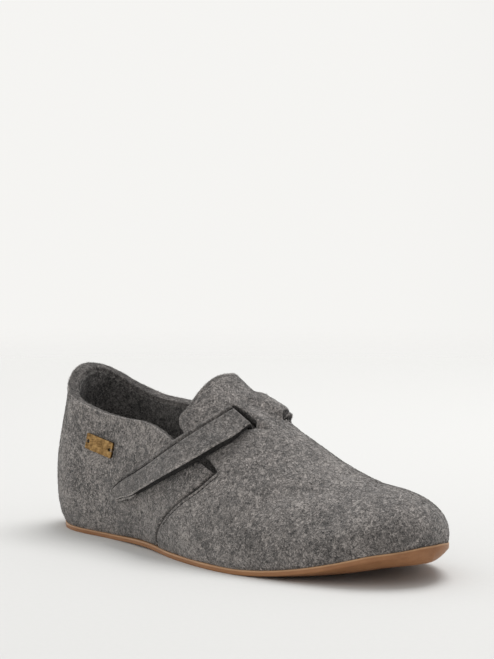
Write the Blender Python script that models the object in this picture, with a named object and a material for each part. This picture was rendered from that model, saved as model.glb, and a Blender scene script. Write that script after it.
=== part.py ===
"""Felt house slipper for the right foot, with a hook-and-loop strap over the instep.

+X runs from heel to toe, -Y is the outer side of the foot and +Z is up.
The shoe stands on z = 0, with the origin under the middle of its bounding box.
Sizes and tables are in millimetres; the meshes are made in metres.

The upper is lofted over a last. A place on the last is given by two shares:
"along" runs from the back of the heel (0) to the tip of the toe (1), and
"girth" runs from the outer featherline (-1) over the ridge (0) to the inner one (1).
The featherline is where the felt meets the sole.
"""
import bmesh
import bpy
import numpy as np

MM = 0.001

# Sizes of the shoe
LENGTH = 258.0
BALL_WIDTH = 88.6
INSTEP_HEIGHT = 81.8
HEEL_HEIGHT = 86.5
HEEL_RADIUS = 29.0
TOE_RADIUS = 26.0

# Felt
QUARTER_WALL = 5.0
VAMP_WALL = 4.0
SEAM_STEP = 0.7
COLLAR_FLARE = 2.0
RIM_ROUND = 1.2
RIM_SHARE = 0.2
FLARE_POWER = 6
STEP_POWER = 4
WALL_EASE = 0.4
GAP = 0.3

# Sole and insole
SOLE_EDGE = 2.7
HEEL_EDGE = 2.0
HEEL_EDGE_TO = 0.25
SOLE_EDGE_FROM = 0.48
SOLE_LIP = 0.8
SOLE_ROLL = 6.0
ROLL_REACH = 14.0
ROLL_FROM = 0.62
ROLL_FULL = 1.10
ARCH_LIFT = 0.8
ARCH_FROM = 0.22
ARCH_TO = 0.48
TOE_SPRING = 18.2
SPRING_FROM = 0.66
SPRING_POWER = 1.9
HEEL_LIFT = 0.6
HEEL_LIFT_TO = 0.06
INSOLE_THICKNESS = 2.0

# Strap, its tape and the plate
STRAP_WIDTH = 19.0
STRAP_END_WIDTH = 12.0
STRAP_FULL_AT = -0.413
STRAP_THICKNESS = 3.0
STRAP_CORNER = 4.0
STRAP_END = -0.777
STRAP_SEWN_END = 0.70
SLOT_CLEARANCE = 0.8
SLOT_REACH = 9.0
TAPE_WIDTH = 10.0
TAPE_THICKNESS = 1.4
TAPE_FROM = -0.745
TAPE_TO = -0.575
PLATE_LENGTH = 22.0
PLATE_HEIGHT = 8.5
PLATE_THICKNESS = 1.0
PLATE_STANDOFF = 1.1
PLATE_ALONG = 0.306
PLATE_GIRTH = -0.638
PLATE_TILT = np.radians(9.5)
PLATE_CORNER = 0.8
PLATE_HOLE_RADIUS = 1.0
PLATE_HOLE_AT = 9.0

# Sections of the last. "at" is a share of the length; widths and sideways
# offsets are shares of the ball width, heights are shares of the instep height.
# "wall" and "crown" widen and narrow the section above the featherline.
SECTION_COLUMNS = ("at", "lateral", "medial", "swing", "wall", "rise", "crown", "ridge", "keel")
SECTIONS = np.array((
    (0.00, 0.000, 0.000, 0.000, 1.30, 0.244, 0.90, 1.614, 0.000),
    (0.08, 0.305, 0.277, 0.000, 1.30, 0.269, 0.90, 1.577, 0.000),
    (0.20, 0.327, 0.327, 0.000, 1.28, 0.312, 0.88, 1.455, 0.006),
    (0.36, 0.378, 0.316, 0.000, 1.24, 0.330, 0.79, 1.216, 0.023),
    (0.50, 0.479, 0.372, 0.000, 1.18, 0.306, 0.64, 1.000, 0.043),
    (0.64, 0.526, 0.474, 0.003, 1.12, 0.257, 0.57, 0.812, 0.059),
    (0.76, 0.485, 0.500, 0.018, 1.10, 0.224, 0.61, 0.660, 0.070),
    (0.88, 0.386, 0.440, 0.044, 1.10, 0.188, 0.64, 0.555, 0.080),
    (1.00, 0.000, 0.000, 0.077, 1.08, 0.147, 0.62, 0.526, 0.090),
))

# Where each rail of the last starts and ends, as shares of the length
RAIL_ENDS = {
    "featherline": (0.008, 0.994),
    "wall": (-0.070, 1.003),
    "crown": (0.070, 0.971),
    "ridge": (0.155, 0.876),
}

# Height of the collar above the floor, as shares of the heel height
COLLAR_COLUMNS = ("along", "lateral", "medial")
COLLAR = np.array((
    (0.00, 1.000, 1.000),
    (0.05, 0.985, 0.985),
    (0.10, 0.945, 0.942),
    (0.15, 0.895, 0.888),
    (0.20, 0.850, 0.842),
    (0.25, 0.812, 0.808),
    (0.30, 0.777, 0.800),
    (0.35, 0.761, 0.797),
    (0.40, 0.751, 0.775),
    (0.45, 0.684, 0.692),
    (0.50, 0.600, 0.600),
    (0.56, 0.503, 0.503),
))

# Back edge of the vamp: the seam below the slit, the tongue's edge above it
SLIT_RISE = 0.495
SEAM = np.array((
    # rise, along
    (0.000, 0.442),
    (0.080, 0.452),
    (0.200, 0.480),
    (0.300, 0.507),
    (0.380, 0.527),
    (SLIT_RISE, 0.556),
))
TONGUE = np.array((
    # rise, along
    (SLIT_RISE, 0.556),
    (0.515, 0.545),
    (0.535, 0.522),
    (0.567, 0.472),
    (0.600, 0.456),
    (0.700, 0.455),
    (0.850, 0.455),
    (1.000, 0.452),
))

# Middle of the strap over the last, and the height of its underside above the felt
STRAP_PATH = np.array((
    # girth, along
    (-0.777, 0.380),
    (-0.633, 0.449),
    (-0.553, 0.476),
    (-0.427, 0.505),
    (-0.323, 0.521),
    (-0.202, 0.532),
    (0.000, 0.535),
    (0.130, 0.525),
    (0.202, 0.517),
    (0.323, 0.497),
    (0.427, 0.475),
    (0.553, 0.440),
    (0.700, 0.383),
))
STRAP_UNDER = VAMP_WALL + GAP + STRAP_THICKNESS
STRAP_LIFT = (
    # girth, lift
    (-0.777, 2.1),
    (-0.560, 2.0),
    (-0.400, 1.2),
    (-0.215, 1.2),
    (-0.145, -STRAP_UNDER),
    (0.070, -STRAP_UNDER),
    (0.145, 2.2),
    (0.300, 2.0),
    (0.450, 0.5),
    (0.700, 0.4),
)
# Ends of the two slots through the vamp, as girths
SLOTS = ((-0.207, -0.143), (0.068, 0.130))

# Mesh density
QUARTER_COLUMNS = 20
VAMP_COLUMNS = 22
SEAM_ROWS = 8
TONGUE_ROWS = 13
TONGUE_SPREAD = 1.6
SOLE_COLUMNS = 40
SOLE_ROWS = 10
STRAP_SECTIONS = 64
STRAP_ROWS = 6
DIVE_SECTIONS = 9
CORNER_SHARES = (0.15, 0.40, 0.70)
TAPE_SECTIONS = 10
SLOT_SECTIONS = 8
CORNER_STEPS = 4
HOLE_STEPS = 16
SHARP_ANGLE = np.radians(50.0)
# Small step for slopes, and the rises between which the collar is searched
STEP = 1e-4
COLLAR_RISES = (0.2, 0.8)


def smooth(at, values, x, slope=False):
    """Value (or slope) at x of a smooth curve through the given rows."""
    x = np.asarray(x, float)
    tangents = np.gradient(values, at)
    k = np.clip(np.searchsorted(at, x) - 1, 0, len(at) - 2)
    span = at[k + 1] - at[k]
    t = (x - at[k]) / span
    if slope:
        chord = (values[k + 1] - values[k]) / span
        ends = tangents[k] * (1 - t) * (1 - 3 * t) + tangents[k + 1] * t * (3 * t - 2)
        return 6 * chord * t * (1 - t) + ends
    start = values[k] * (1 + 2 * t) * (1 - t) ** 2 + tangents[k] * span * t * (1 - t) ** 2
    end = values[k + 1] * t * t * (3 - 2 * t) + tangents[k + 1] * span * t * t * (t - 1)
    return start + end


def ease(x, start, end):
    """Soft ramp from 0 at start to 1 at end."""
    t = np.clip((x - start) / (end - start), 0.0, 1.0)
    return t * t * (3 - 2 * t)


def section(name, at, slope=False):
    column = SECTIONS[:, SECTION_COLUMNS.index(name)]
    return smooth(SECTIONS[:, 0], column, at, slope)


def half_width(side, at):
    """Half width of the featherline, with round ends of the heel and toe radius."""
    rows = SECTIONS[:, 0]
    width = BALL_WIDTH * SECTIONS[:, SECTION_COLUMNS.index("lateral" if side < 0 else "medial")]
    fullness = np.empty(len(rows))
    fullness[1:-1] = width[1:-1] / (2 * np.sqrt(rows[1:-1] * (1 - rows[1:-1])))
    fullness[0] = np.sqrt(2 * HEEL_RADIUS * LENGTH) / 2
    fullness[-1] = np.sqrt(2 * TOE_RADIUS * LENGTH) / 2
    return smooth(rows, fullness, at) * 2 * np.sqrt(np.clip(at * (1 - at), 0, None))


def sole_edge(at):
    """Thickness of the sole at its edge: thinner under the heel."""
    return HEEL_EDGE + (SOLE_EDGE - HEEL_EDGE) * ease(at, HEEL_EDGE_TO, SOLE_EDGE_FROM)


def seat(at):
    """Height of the featherline above the floor."""
    arch = ARCH_LIFT * np.sin(np.pi * np.clip((at - ARCH_FROM) / (ARCH_TO - ARCH_FROM), 0, 1)) ** 2
    spring = TOE_SPRING * np.clip((at - SPRING_FROM) / (1 - SPRING_FROM), 0, 1) ** SPRING_POWER
    heel = HEEL_LIFT * np.clip(1 - at / HEEL_LIFT_TO, 0, 1) ** 2
    return sole_edge(at) + GAP + arch + spring + heel


def rail_x(name, at):
    start, end = RAIL_ENDS[name]
    return LENGTH * (start + (end - start) * at)


def last_point(side, along, rise):
    """Point of the last; rise runs from the featherline (0) to the ridge (1)."""
    along, rise = np.broadcast_arrays(np.asarray(along, float), np.asarray(rise, float))
    at = (1 - np.cos(np.pi * along)) / 2
    width = half_width(side, at)
    swing = BALL_WIDTH * section("swing", at)
    floor = seat(at)
    keel = BALL_WIDTH * section("keel", at)
    ridge = INSTEP_HEIGHT * section("ridge", at)
    ridge_x = rail_x("ridge", at)
    crown_x = rail_x("crown", at)
    start, end = RAIL_ENDS["ridge"]
    drift = (crown_x - ridge_x) / (LENGTH * (end - start))
    crown_y = keel + BALL_WIDTH * section("keel", at, True) * drift
    crown_z = ridge + INSTEP_HEIGHT * section("ridge", at, True) * drift
    wall_y = swing + side * width * section("wall", at)
    wall_z = floor + INSTEP_HEIGHT * section("rise", at)
    rails = (
        (rail_x("featherline", at), swing + side * width, floor),
        (rail_x("wall", at), wall_y, wall_z),
        (crown_x, crown_y + side * width * section("crown", at), crown_z),
        (ridge_x, keel, ridge),
    )
    weights = ((1 - rise) ** 3, 3 * (1 - rise) ** 2 * rise, 3 * (1 - rise) * rise ** 2, rise ** 3)
    return sum(weight[..., None] * np.stack(rail, -1) for weight, rail in zip(weights, rails))


def unit(vectors):
    return vectors / np.linalg.norm(vectors, axis=-1, keepdims=True)


def last_frame(side, along, rise):
    """Point, outward normal and upward tangent of the last."""
    along, rise = np.broadcast_arrays(np.asarray(along, float), np.asarray(rise, float))
    before = np.clip(along - STEP, 0, 1)
    after = np.clip(along + STEP, 0, 1)
    below = np.clip(rise - STEP, 0, 1)
    above = np.clip(rise + STEP, 0, 1)
    forward = last_point(side, after, rise) - last_point(side, before, rise)
    upward = last_point(side, along, above) - last_point(side, along, below)
    normal = unit(np.cross(forward, upward)) * -side
    return last_point(side, along, rise), normal, unit(upward)


def skin(along, girth):
    """Point and outward normal of the last over both sides."""
    along, girth = np.broadcast_arrays(np.asarray(along, float), np.asarray(girth, float))
    rise = 1 - np.abs(girth)
    outer = last_frame(-1, along, rise)
    inner = last_frame(1, along, rise)
    lateral = (girth <= 0)[..., None]
    return np.where(lateral, outer[0], inner[0]), np.where(lateral, outer[1], inner[1])


def nearest_skin(target, along, girth, rounds=4):
    """Point and normal of the last nearest to a target, searched from a first guess."""
    for _ in range(rounds):
        point, _normal = skin(along, girth)
        per_along = (skin(along + STEP, girth)[0] - point) / STEP
        per_girth = (skin(along, girth + STEP)[0] - point) / STEP
        miss = target - point
        aa = (per_along * per_along).sum(-1)
        ag = (per_along * per_girth).sum(-1)
        gg = (per_girth * per_girth).sum(-1)
        ma = (miss * per_along).sum(-1)
        mg = (miss * per_girth).sum(-1)
        scale = aa * gg - ag * ag
        along = along + (ma * gg - mg * ag) / scale
        girth = girth + (mg * aa - ma * ag) / scale
    return skin(along, girth)


def collar_height(side, along):
    column = COLLAR[:, COLLAR_COLUMNS.index("lateral" if side < 0 else "medial")]
    return HEEL_HEIGHT * smooth(COLLAR[:, 0], column, along)


def seam_along(rise):
    return smooth(SEAM[:, 0], SEAM[:, 1], rise)


def vamp_start(rise):
    """Back edge of the vamp and tongue at each rise."""
    tongue = smooth(TONGUE[:, 0], TONGUE[:, 1], np.maximum(rise, SLIT_RISE))
    return np.where(rise <= SLIT_RISE, seam_along(np.minimum(rise, SLIT_RISE)), tongue)


def collar_rise(side, share, rounds=40):
    """Rise at which each quarter column meets the collar."""
    low = np.full(share.shape, COLLAR_RISES[0])
    high = np.full(share.shape, COLLAR_RISES[1])
    for _ in range(rounds):
        middle = (low + high) / 2
        along = share * seam_along(np.minimum(middle, SLIT_RISE))
        under = last_point(side, along, middle)[..., 2] < collar_height(side, along)
        low = np.where(under, middle, low)
        high = np.where(under, high, middle)
    return np.where(share < 1, low, SLIT_RISE)


class Shell:
    """Points and faces of one closed mesh, with points named by a key."""

    def __init__(self):
        self.points = []
        self.names = {}
        self.faces = []

    def put(self, key, point):
        if key not in self.names:
            self.names[key] = len(self.points)
            self.points.append(point)
        return self.names[key]

    def face(self, *keys):
        corners = []
        for key in keys:
            index = self.names[key]
            if index not in corners:
                corners.append(index)
        if len(corners) > 2:
            self.faces.append(corners)


def solid(name, points, faces, material):
    """One closed mesh object facing out."""
    mesh = bpy.data.meshes.new(name)
    places = [tuple(np.asarray(point) * MM) for point in points]
    mesh.from_pydata(places, [], [tuple(face) for face in faces])
    mesh.validate()
    work = bmesh.new()
    work.from_mesh(mesh)
    bmesh.ops.triangulate(work, faces=work.faces)
    bmesh.ops.recalc_face_normals(work, faces=work.faces)
    work.to_mesh(mesh)
    work.free()
    mesh.shade_smooth()
    mesh.set_sharp_from_angle(angle=SHARP_ANGLE)
    thing = bpy.data.objects.new(name, mesh)
    bpy.context.scene.collection.objects.link(thing)
    if material:
        mesh.materials.append(material)
    return thing


def material(name, colour, roughness, metallic=0.0):
    shade = bpy.data.materials.new(name)
    shade.use_nodes = True
    principled = shade.node_tree.nodes["Principled BSDF"]
    principled.inputs["Base Color"].default_value = (*colour, 1.0)
    principled.inputs["Roughness"].default_value = roughness
    principled.inputs["Metallic"].default_value = metallic
    return shade


def cut(target, cutter):
    """Take the cutter out of the target."""
    cutter.hide_render = True
    cutter.display_type = "WIRE"
    boolean = target.modifiers.new("cut", "BOOLEAN")
    boolean.operation = "DIFFERENCE"
    boolean.solver = "EXACT"
    boolean.object = cutter
    depsgraph = bpy.context.evaluated_depsgraph_get()
    mesh = bpy.data.meshes.new_from_object(target.evaluated_get(depsgraph))
    target.modifiers.clear()
    target.data = mesh
    bpy.data.objects.remove(cutter)


def foot_outline(side, along, inset):
    """Featherline moved sideways by an inset, in plan."""
    before = last_point(side, np.clip(along - STEP, 0, 1), 0.0)[..., :2]
    after = last_point(side, np.clip(along + STEP, 0, 1), 0.0)[..., :2]
    run = unit(after - before)
    inward = np.stack((run[..., 1], -run[..., 0]), -1) * side
    return last_point(side, along, 0.0)[..., :2] + inward * inset


def share_at(x):
    """Share of the featherline's length at a distance from the heel."""
    start, end = RAIL_ENDS["featherline"]
    return np.clip((x / LENGTH - start) / (end - start), 0, 1)


def vamp_rises():
    seam = np.linspace(0, SLIT_RISE, SEAM_ROWS + 1)
    share = np.linspace(0, 1, TONGUE_ROWS + 1)[1:]
    return np.concatenate((seam, SLIT_RISE + (1 - SLIT_RISE) * share ** TONGUE_SPREAD))


def rim_ring(shell, name, outer, inner, away):
    """Two points that round the cut edge of the felt between its faces."""
    for ring, share in (("near", RIM_SHARE), ("far", 1 - RIM_SHARE)):
        shell.put((name, ring), outer + (inner - outer) * share + away * RIM_ROUND)


def upper_shell():
    """Vamp with tongue and quarter as one hollow felt wall."""
    shell = Shell()
    rises = vamp_rises()
    top = len(rises) - 1
    toe = VAMP_COLUMNS
    seam = QUARTER_COLUMNS

    def vamp(side, row, column, layer):
        shared = row == top or column == toe
        return ("vamp", -1 if shared else side, row, column, layer)

    def quarter(side, row, column, layer):
        if column == seam and layer == "inner":
            return vamp(side, row, 0, layer)
        return ("quarter", -1 if column == 0 else side, row, column, layer)

    share = np.linspace(0, 1, VAMP_COLUMNS + 1)
    for side in (-1, 1):
        for row, rise in enumerate(rises):
            start = vamp_start(rise)
            along = start + (1 - start) * share
            outer, normal, _upward = last_frame(side, along, rise)
            inner = outer - normal * VAMP_WALL
            if row == 0:
                inner[:, :2] = foot_outline(side, along, VAMP_WALL)
                inner[:, 2] = outer[:, 2]
            for column in range(toe + 1):
                shell.put(vamp(side, row, column, "outer"), outer[column])
                shell.put(vamp(side, row, column, "inner"), inner[column])
            if row > SEAM_ROWS:
                away = unit(outer[0] - outer[1])
                rim_ring(shell, ("tongue", side if row < top else -1, row), outer[0], inner[0], away)
            elif row == SEAM_ROWS:
                rim_ring(shell, ("slit", side), outer[0], inner[0], 0.0)

    share = np.linspace(0, 1, QUARTER_COLUMNS + 1)
    for side in (-1, 1):
        height = collar_rise(side, share)
        wall = VAMP_WALL + (QUARTER_WALL - VAMP_WALL) * ease(1 - share, 0.0, WALL_EASE)
        for row in range(SEAM_ROWS + 1):
            level = row / SEAM_ROWS
            rise = height * level
            along = share * seam_along(rise)
            outer, normal, upward = last_frame(side, along, rise)
            lean = COLLAR_FLARE * (1 - share) * level ** FLARE_POWER - SEAM_STEP * share ** STEP_POWER
            outer = outer + normal * lean[:, None]
            inner = outer - normal * wall[:, None]
            if row == 0:
                inner[:, :2] = foot_outline(side, along, wall[:, None])
                inner[:, 2] = outer[:, 2]
            for column in range(seam + 1):
                shell.put(quarter(side, row, column, "outer"), outer[column])
                shell.put(quarter(side, row, column, "inner"), inner[column])
            if row == SEAM_ROWS:
                for column in range(seam):
                    key = ("collar", side if column else -1, column)
                    rim_ring(shell, key, outer[column], inner[column], upward[column])

    def rim(side, column, row=None):
        if row is not None:
            name = ("slit", side) if row == SEAM_ROWS else ("tongue", side if row < top else -1, row)
        else:
            name = ("slit", side) if column == seam else ("collar", side if column else -1, column)
        return (name, "near"), (name, "far")

    for side in (-1, 1):
        for layer in ("outer", "inner"):
            for row in range(top):
                for column in range(toe):
                    shell.face(vamp(side, row, column, layer),
                               vamp(side, row, column + 1, layer),
                               vamp(side, row + 1, column + 1, layer),
                               vamp(side, row + 1, column, layer))
            for row in range(SEAM_ROWS):
                for column in range(seam):
                    shell.face(quarter(side, row, column, layer),
                               quarter(side, row, column + 1, layer),
                               quarter(side, row + 1, column + 1, layer),
                               quarter(side, row + 1, column, layer))
        for column in range(toe):
            shell.face(vamp(side, 0, column, "outer"), vamp(side, 0, column + 1, "outer"),
                       vamp(side, 0, column + 1, "inner"), vamp(side, 0, column, "inner"))
        for column in range(seam):
            shell.face(quarter(side, 0, column, "outer"), quarter(side, 0, column + 1, "outer"),
                       quarter(side, 0, column + 1, "inner"), quarter(side, 0, column, "inner"))
            near, far = rim(side, column)
            next_near, next_far = rim(side, column + 1)
            shell.face(quarter(side, SEAM_ROWS, column, "outer"),
                       quarter(side, SEAM_ROWS, column + 1, "outer"), next_near, near)
            shell.face(near, next_near, next_far, far)
            shell.face(far, next_far, quarter(side, SEAM_ROWS, column + 1, "inner"),
                       quarter(side, SEAM_ROWS, column, "inner"))
        for row in range(SEAM_ROWS, top):
            near, far = rim(side, 0, row)
            next_near, next_far = rim(side, 0, row + 1)
            shell.face(vamp(side, row, 0, "outer"), vamp(side, row + 1, 0, "outer"), next_near, near)
            shell.face(near, next_near, next_far, far)
            shell.face(far, next_far, vamp(side, row + 1, 0, "inner"), vamp(side, row, 0, "inner"))
        for row in range(SEAM_ROWS):
            shell.face(quarter(side, row, seam, "outer"), vamp(side, row, 0, "outer"),
                       vamp(side, row + 1, 0, "outer"), quarter(side, row + 1, seam, "outer"))
        shell.face(quarter(side, 0, seam, "outer"), vamp(side, 0, 0, "outer"), vamp(side, 0, 0, "inner"))
        shell.face(quarter(side, SEAM_ROWS, seam, "outer"), vamp(side, SEAM_ROWS, 0, "outer"),
                   rim(side, seam)[0])
    return shell


def slab_shell(inset, top_height, bottom_height):
    """Closed slab inside the featherline, from its top and bottom height functions."""
    shell = Shell()
    along = (np.arange(SOLE_COLUMNS) + 0.5) / SOLE_COLUMNS
    outer = foot_outline(-1, along, inset)
    inner = foot_outline(1, along, inset)
    across = (1 - np.cos(np.pi * np.linspace(0, 1, SOLE_ROWS + 1))) / 2
    for column in range(SOLE_COLUMNS):
        width = np.linalg.norm(inner[column] - outer[column])
        for row, share in enumerate(across):
            x, y = outer[column] + (inner[column] - outer[column]) * share
            edge = width * min(share, 1 - share)
            shell.put(("top", column, row), np.array((x, y, top_height(x))))
            shell.put(("bottom", column, row), np.array((x, y, bottom_height(x, edge))))
    for layer in ("top", "bottom"):
        for column in range(SOLE_COLUMNS - 1):
            for row in range(SOLE_ROWS):
                shell.face((layer, column, row), (layer, column + 1, row),
                           (layer, column + 1, row + 1), (layer, column, row + 1))
    for column in range(SOLE_COLUMNS - 1):
        for row in (0, SOLE_ROWS):
            shell.face(("top", column, row), ("top", column + 1, row),
                       ("bottom", column + 1, row), ("bottom", column, row))
    for column, end in ((0, 0.0), (SOLE_COLUMNS - 1, 1.0)):
        x, y = foot_outline(-1, np.array(end), inset)
        shell.put(("top tip", column), np.array((x, y, top_height(x))))
        shell.put(("bottom tip", column), np.array((x, y, bottom_height(x, 0.0))))
        for row in range(SOLE_ROWS):
            shell.face(("top tip", column), ("top", column, row), ("top", column, row + 1))
            shell.face(("bottom tip", column), ("bottom", column, row), ("bottom", column, row + 1))
        for row in (0, SOLE_ROWS):
            shell.face(("top tip", column), ("top", column, row),
                       ("bottom", column, row), ("bottom tip", column))
    return shell


def sole_top(x):
    return seat(share_at(x)) - GAP


def sole_bottom(x, edge):
    """Underside of the sole: flat on the floor, rolled up round the toe."""
    at = share_at(x)
    roll = SOLE_ROLL * ease(at, ROLL_FROM, ROLL_FULL)
    bow = 1 - (1 - min(edge / ROLL_REACH, 1.0)) ** 2
    return max(0.0, seat(at) - GAP - sole_edge(at) - roll * bow)


def insole_top(x):
    return seat(share_at(x)) + INSOLE_THICKNESS


def insole_bottom(x, _edge):
    return seat(share_at(x))


def strap_lift(girth):
    """Height of the strap's underside above the felt."""
    lift = STRAP_LIFT[-1][1]
    for (start, low), (end, high) in zip(STRAP_LIFT, STRAP_LIFT[1:]):
        if start <= girth <= end:
            lift = low + (high - low) * ease(girth, start, end)
            break
    return lift


def band_shell(girths, half_widths, lifts, thicknesses):
    """Closed band along the strap's path: one cross section for each girth."""
    shell = Shell()
    along = smooth(STRAP_PATH[:, 0], STRAP_PATH[:, 1], girths)
    middle, normal = skin(along, girths)
    ahead, _normal = skin(smooth(STRAP_PATH[:, 0], STRAP_PATH[:, 1], girths + STEP), girths + STEP)
    sideways = unit(np.cross(normal, unit(ahead - middle)))
    last = len(girths) - 1
    for k, girth in enumerate(girths):
        across = np.linspace(-1, 1, STRAP_ROWS + 1)[:, None] * half_widths[k]
        target = middle[k] + sideways[k] * across
        first_along = np.full(STRAP_ROWS + 1, along[k])
        point, out = nearest_skin(target, first_along, np.full(STRAP_ROWS + 1, girth))
        for row in range(STRAP_ROWS + 1):
            shell.put((k, row, "under"), point[row] + out[row] * lifts[k])
            shell.put((k, row, "over"), point[row] + out[row] * (lifts[k] + thicknesses[k]))
    for k in range(last):
        for layer in ("under", "over"):
            for row in range(STRAP_ROWS):
                shell.face((k, row, layer), (k + 1, row, layer),
                           (k + 1, row + 1, layer), (k, row + 1, layer))
        for row in (0, STRAP_ROWS):
            shell.face((k, row, "under"), (k + 1, row, "under"), (k + 1, row, "over"), (k, row, "over"))
    for k in (0, last):
        for row in range(STRAP_ROWS):
            shell.face((k, row, "under"), (k, row + 1, "under"), (k, row + 1, "over"), (k, row, "over"))
    return shell


def path_lengths(girths):
    point, _normal = skin(smooth(STRAP_PATH[:, 0], STRAP_PATH[:, 1], girths), girths)
    steps = np.linalg.norm(np.diff(point, axis=0), axis=1)
    return np.concatenate(((0.0,), np.cumsum(steps)))


def strap_shell():
    girths = np.linspace(STRAP_END, STRAP_SEWN_END, STRAP_SECTIONS + 1)
    corner_girths = STRAP_END + (girths[1] - STRAP_END) * np.array(CORNER_SHARES)
    dives = [np.linspace(start, end, DIVE_SECTIONS) for start, end in SLOTS]
    girths = np.unique(np.concatenate((girths, corner_girths, *dives)))
    reach = path_lengths(girths)
    short = np.clip(1 - reach / STRAP_CORNER, 0, 1)
    widths = STRAP_END_WIDTH + (STRAP_WIDTH - STRAP_END_WIDTH) * ease(girths, STRAP_END, STRAP_FULL_AT)
    half_widths = widths / 2 - STRAP_CORNER * (1 - np.sqrt(1 - short ** 2))
    lifts = np.array([strap_lift(girth) for girth in girths])
    return band_shell(girths, half_widths, lifts, np.full(len(girths), STRAP_THICKNESS))


def tape_shell():
    girths = np.linspace(TAPE_FROM, TAPE_TO, TAPE_SECTIONS)
    count = len(girths)
    half = np.full(count, TAPE_WIDTH / 2)
    return band_shell(girths, half, np.full(count, GAP), np.full(count, TAPE_THICKNESS))


def slot_shell(start, end):
    girths = np.linspace(start, end, SLOT_SECTIONS)
    count = len(girths)
    half = np.full(count, STRAP_WIDTH / 2 + SLOT_CLEARANCE)
    depth = VAMP_WALL + SLOT_REACH
    return band_shell(girths, half, np.full(count, -depth), np.full(count, depth + SLOT_REACH))


def plate_frame():
    """Middle of the plate on the quarter, with its long, short and outward directions."""
    point, normal = skin(PLATE_ALONG, PLATE_GIRTH)
    lengthwise = np.array((np.cos(PLATE_TILT), 0.0, -np.sin(PLATE_TILT)))
    lengthwise = unit(lengthwise - normal * (lengthwise @ normal))
    return point + normal * PLATE_STANDOFF, lengthwise, np.cross(normal, lengthwise), normal


def prism_shell(outline, frame, low, high):
    """Closed prism over a flat outline in a frame."""
    shell = Shell()
    middle, lengthwise, upright, normal = frame
    count = len(outline)
    for k, (x, y) in enumerate(outline):
        foot = middle + lengthwise * x + upright * y
        shell.put((k, "low"), foot + normal * low)
        shell.put((k, "high"), foot + normal * high)
    for layer in ("low", "high"):
        shell.face(*((k, layer) for k in range(count)))
    for k in range(count):
        after = (k + 1) % count
        shell.face((k, "low"), (after, "low"), (after, "high"), (k, "high"))
    return shell


def plate_outline():
    corners = []
    turn = np.pi / 2
    for quarter, (sx, sy) in enumerate(((1, 1), (-1, 1), (-1, -1), (1, -1))):
        for step in range(CORNER_STEPS + 1):
            angle = turn * (quarter + step / CORNER_STEPS)
            x = sx * (PLATE_LENGTH / 2 - PLATE_CORNER) + PLATE_CORNER * np.cos(angle)
            y = sy * (PLATE_HEIGHT / 2 - PLATE_CORNER) + PLATE_CORNER * np.sin(angle)
            corners.append((x, y))
    return corners


def hole_outline(x):
    angles = 2 * np.pi * np.arange(HOLE_STEPS) / HOLE_STEPS
    return [(x + PLATE_HOLE_RADIUS * np.cos(a), PLATE_HOLE_RADIUS * np.sin(a)) for a in angles]


def from_shell(name, shell, shade):
    return solid(name, shell.points, shell.faces, shade)


def centre(things):
    """Move every piece so that the origin is under the middle of the shoe."""
    corners = np.array([vertex.co[:] for thing in things for vertex in thing.data.vertices])
    low = corners.min(axis=0)
    high = corners.max(axis=0)
    for thing in things:
        for vertex in thing.data.vertices:
            vertex.co.x -= (low[0] + high[0]) / 2
            vertex.co.y -= (low[1] + high[1]) / 2
            vertex.co.z -= low[2]


def build():
    for thing in list(bpy.data.objects):
        bpy.data.objects.remove(thing)
    grey_felt = material("grey felt", (0.165, 0.150, 0.140), 0.95)
    strap_felt = material("strap felt", (0.130, 0.118, 0.110), 0.95)
    dark_felt = material("insole felt", (0.060, 0.057, 0.055), 0.95)
    tan_sole = material("tan sole", (0.300, 0.155, 0.080), 0.60)
    black_tape = material("black hook tape", (0.018, 0.018, 0.020), 0.80)
    brass = material("aged brass", (0.330, 0.200, 0.075), 0.45, 1.0)

    outsole = from_shell("outsole", slab_shell(-SOLE_LIP, sole_top, sole_bottom), tan_sole)
    insole = from_shell("insole", slab_shell(QUARTER_WALL + GAP, insole_top, insole_bottom), dark_felt)
    upper = from_shell("upper", upper_shell(), grey_felt)
    for start, end in SLOTS:
        cut(upper, from_shell("slot cutter", slot_shell(start, end), None))
    strap = from_shell("strap", strap_shell(), strap_felt)
    tape = from_shell("hook_tape", tape_shell(), black_tape)
    frame = plate_frame()
    plate = from_shell("plate", prism_shell(plate_outline(), frame, 0.0, PLATE_THICKNESS), brass)
    for side in (-1, 1):
        hole = hole_outline(side * PLATE_HOLE_AT)
        drill = prism_shell(hole, frame, -PLATE_THICKNESS, 2 * PLATE_THICKNESS)
        cut(plate, from_shell("plate hole cutter", drill, None))
    centre((outsole, insole, upper, strap, tape, plate))


build()
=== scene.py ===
"""Looks of a felt house slipper for the right foot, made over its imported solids.

Sizes and tables are in millimetres, in the frame of the last that the solids were lofted over:
x runs from the heel (0) to the toe, -y is the outer side of the foot and z is up from the floor.
A place on the last is given by two shares: "along" runs from the back of the heel (0) to the tip of
the toe (1), and "girth" runs from the outer featherline (-1) over the ridge (0) to the inner one (1).
"Rise" is 1 less the size of the girth. Meshes are made in metres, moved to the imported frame.
"""

import bmesh
import bpy
import numpy as np
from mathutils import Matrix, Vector


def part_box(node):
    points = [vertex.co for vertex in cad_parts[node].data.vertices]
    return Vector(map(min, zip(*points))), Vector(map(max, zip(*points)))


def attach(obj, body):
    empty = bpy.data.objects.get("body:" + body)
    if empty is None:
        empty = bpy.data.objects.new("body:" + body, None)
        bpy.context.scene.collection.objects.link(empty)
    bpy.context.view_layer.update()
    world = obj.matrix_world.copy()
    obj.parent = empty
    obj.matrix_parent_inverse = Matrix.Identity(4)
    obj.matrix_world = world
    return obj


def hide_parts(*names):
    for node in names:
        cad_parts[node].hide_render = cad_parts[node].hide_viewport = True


MM = 0.001
BODY = "root"


def table(columns, rows):
    """Columns of a table by their names."""
    return dict(zip(columns.split(), np.array(rows).T))



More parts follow.
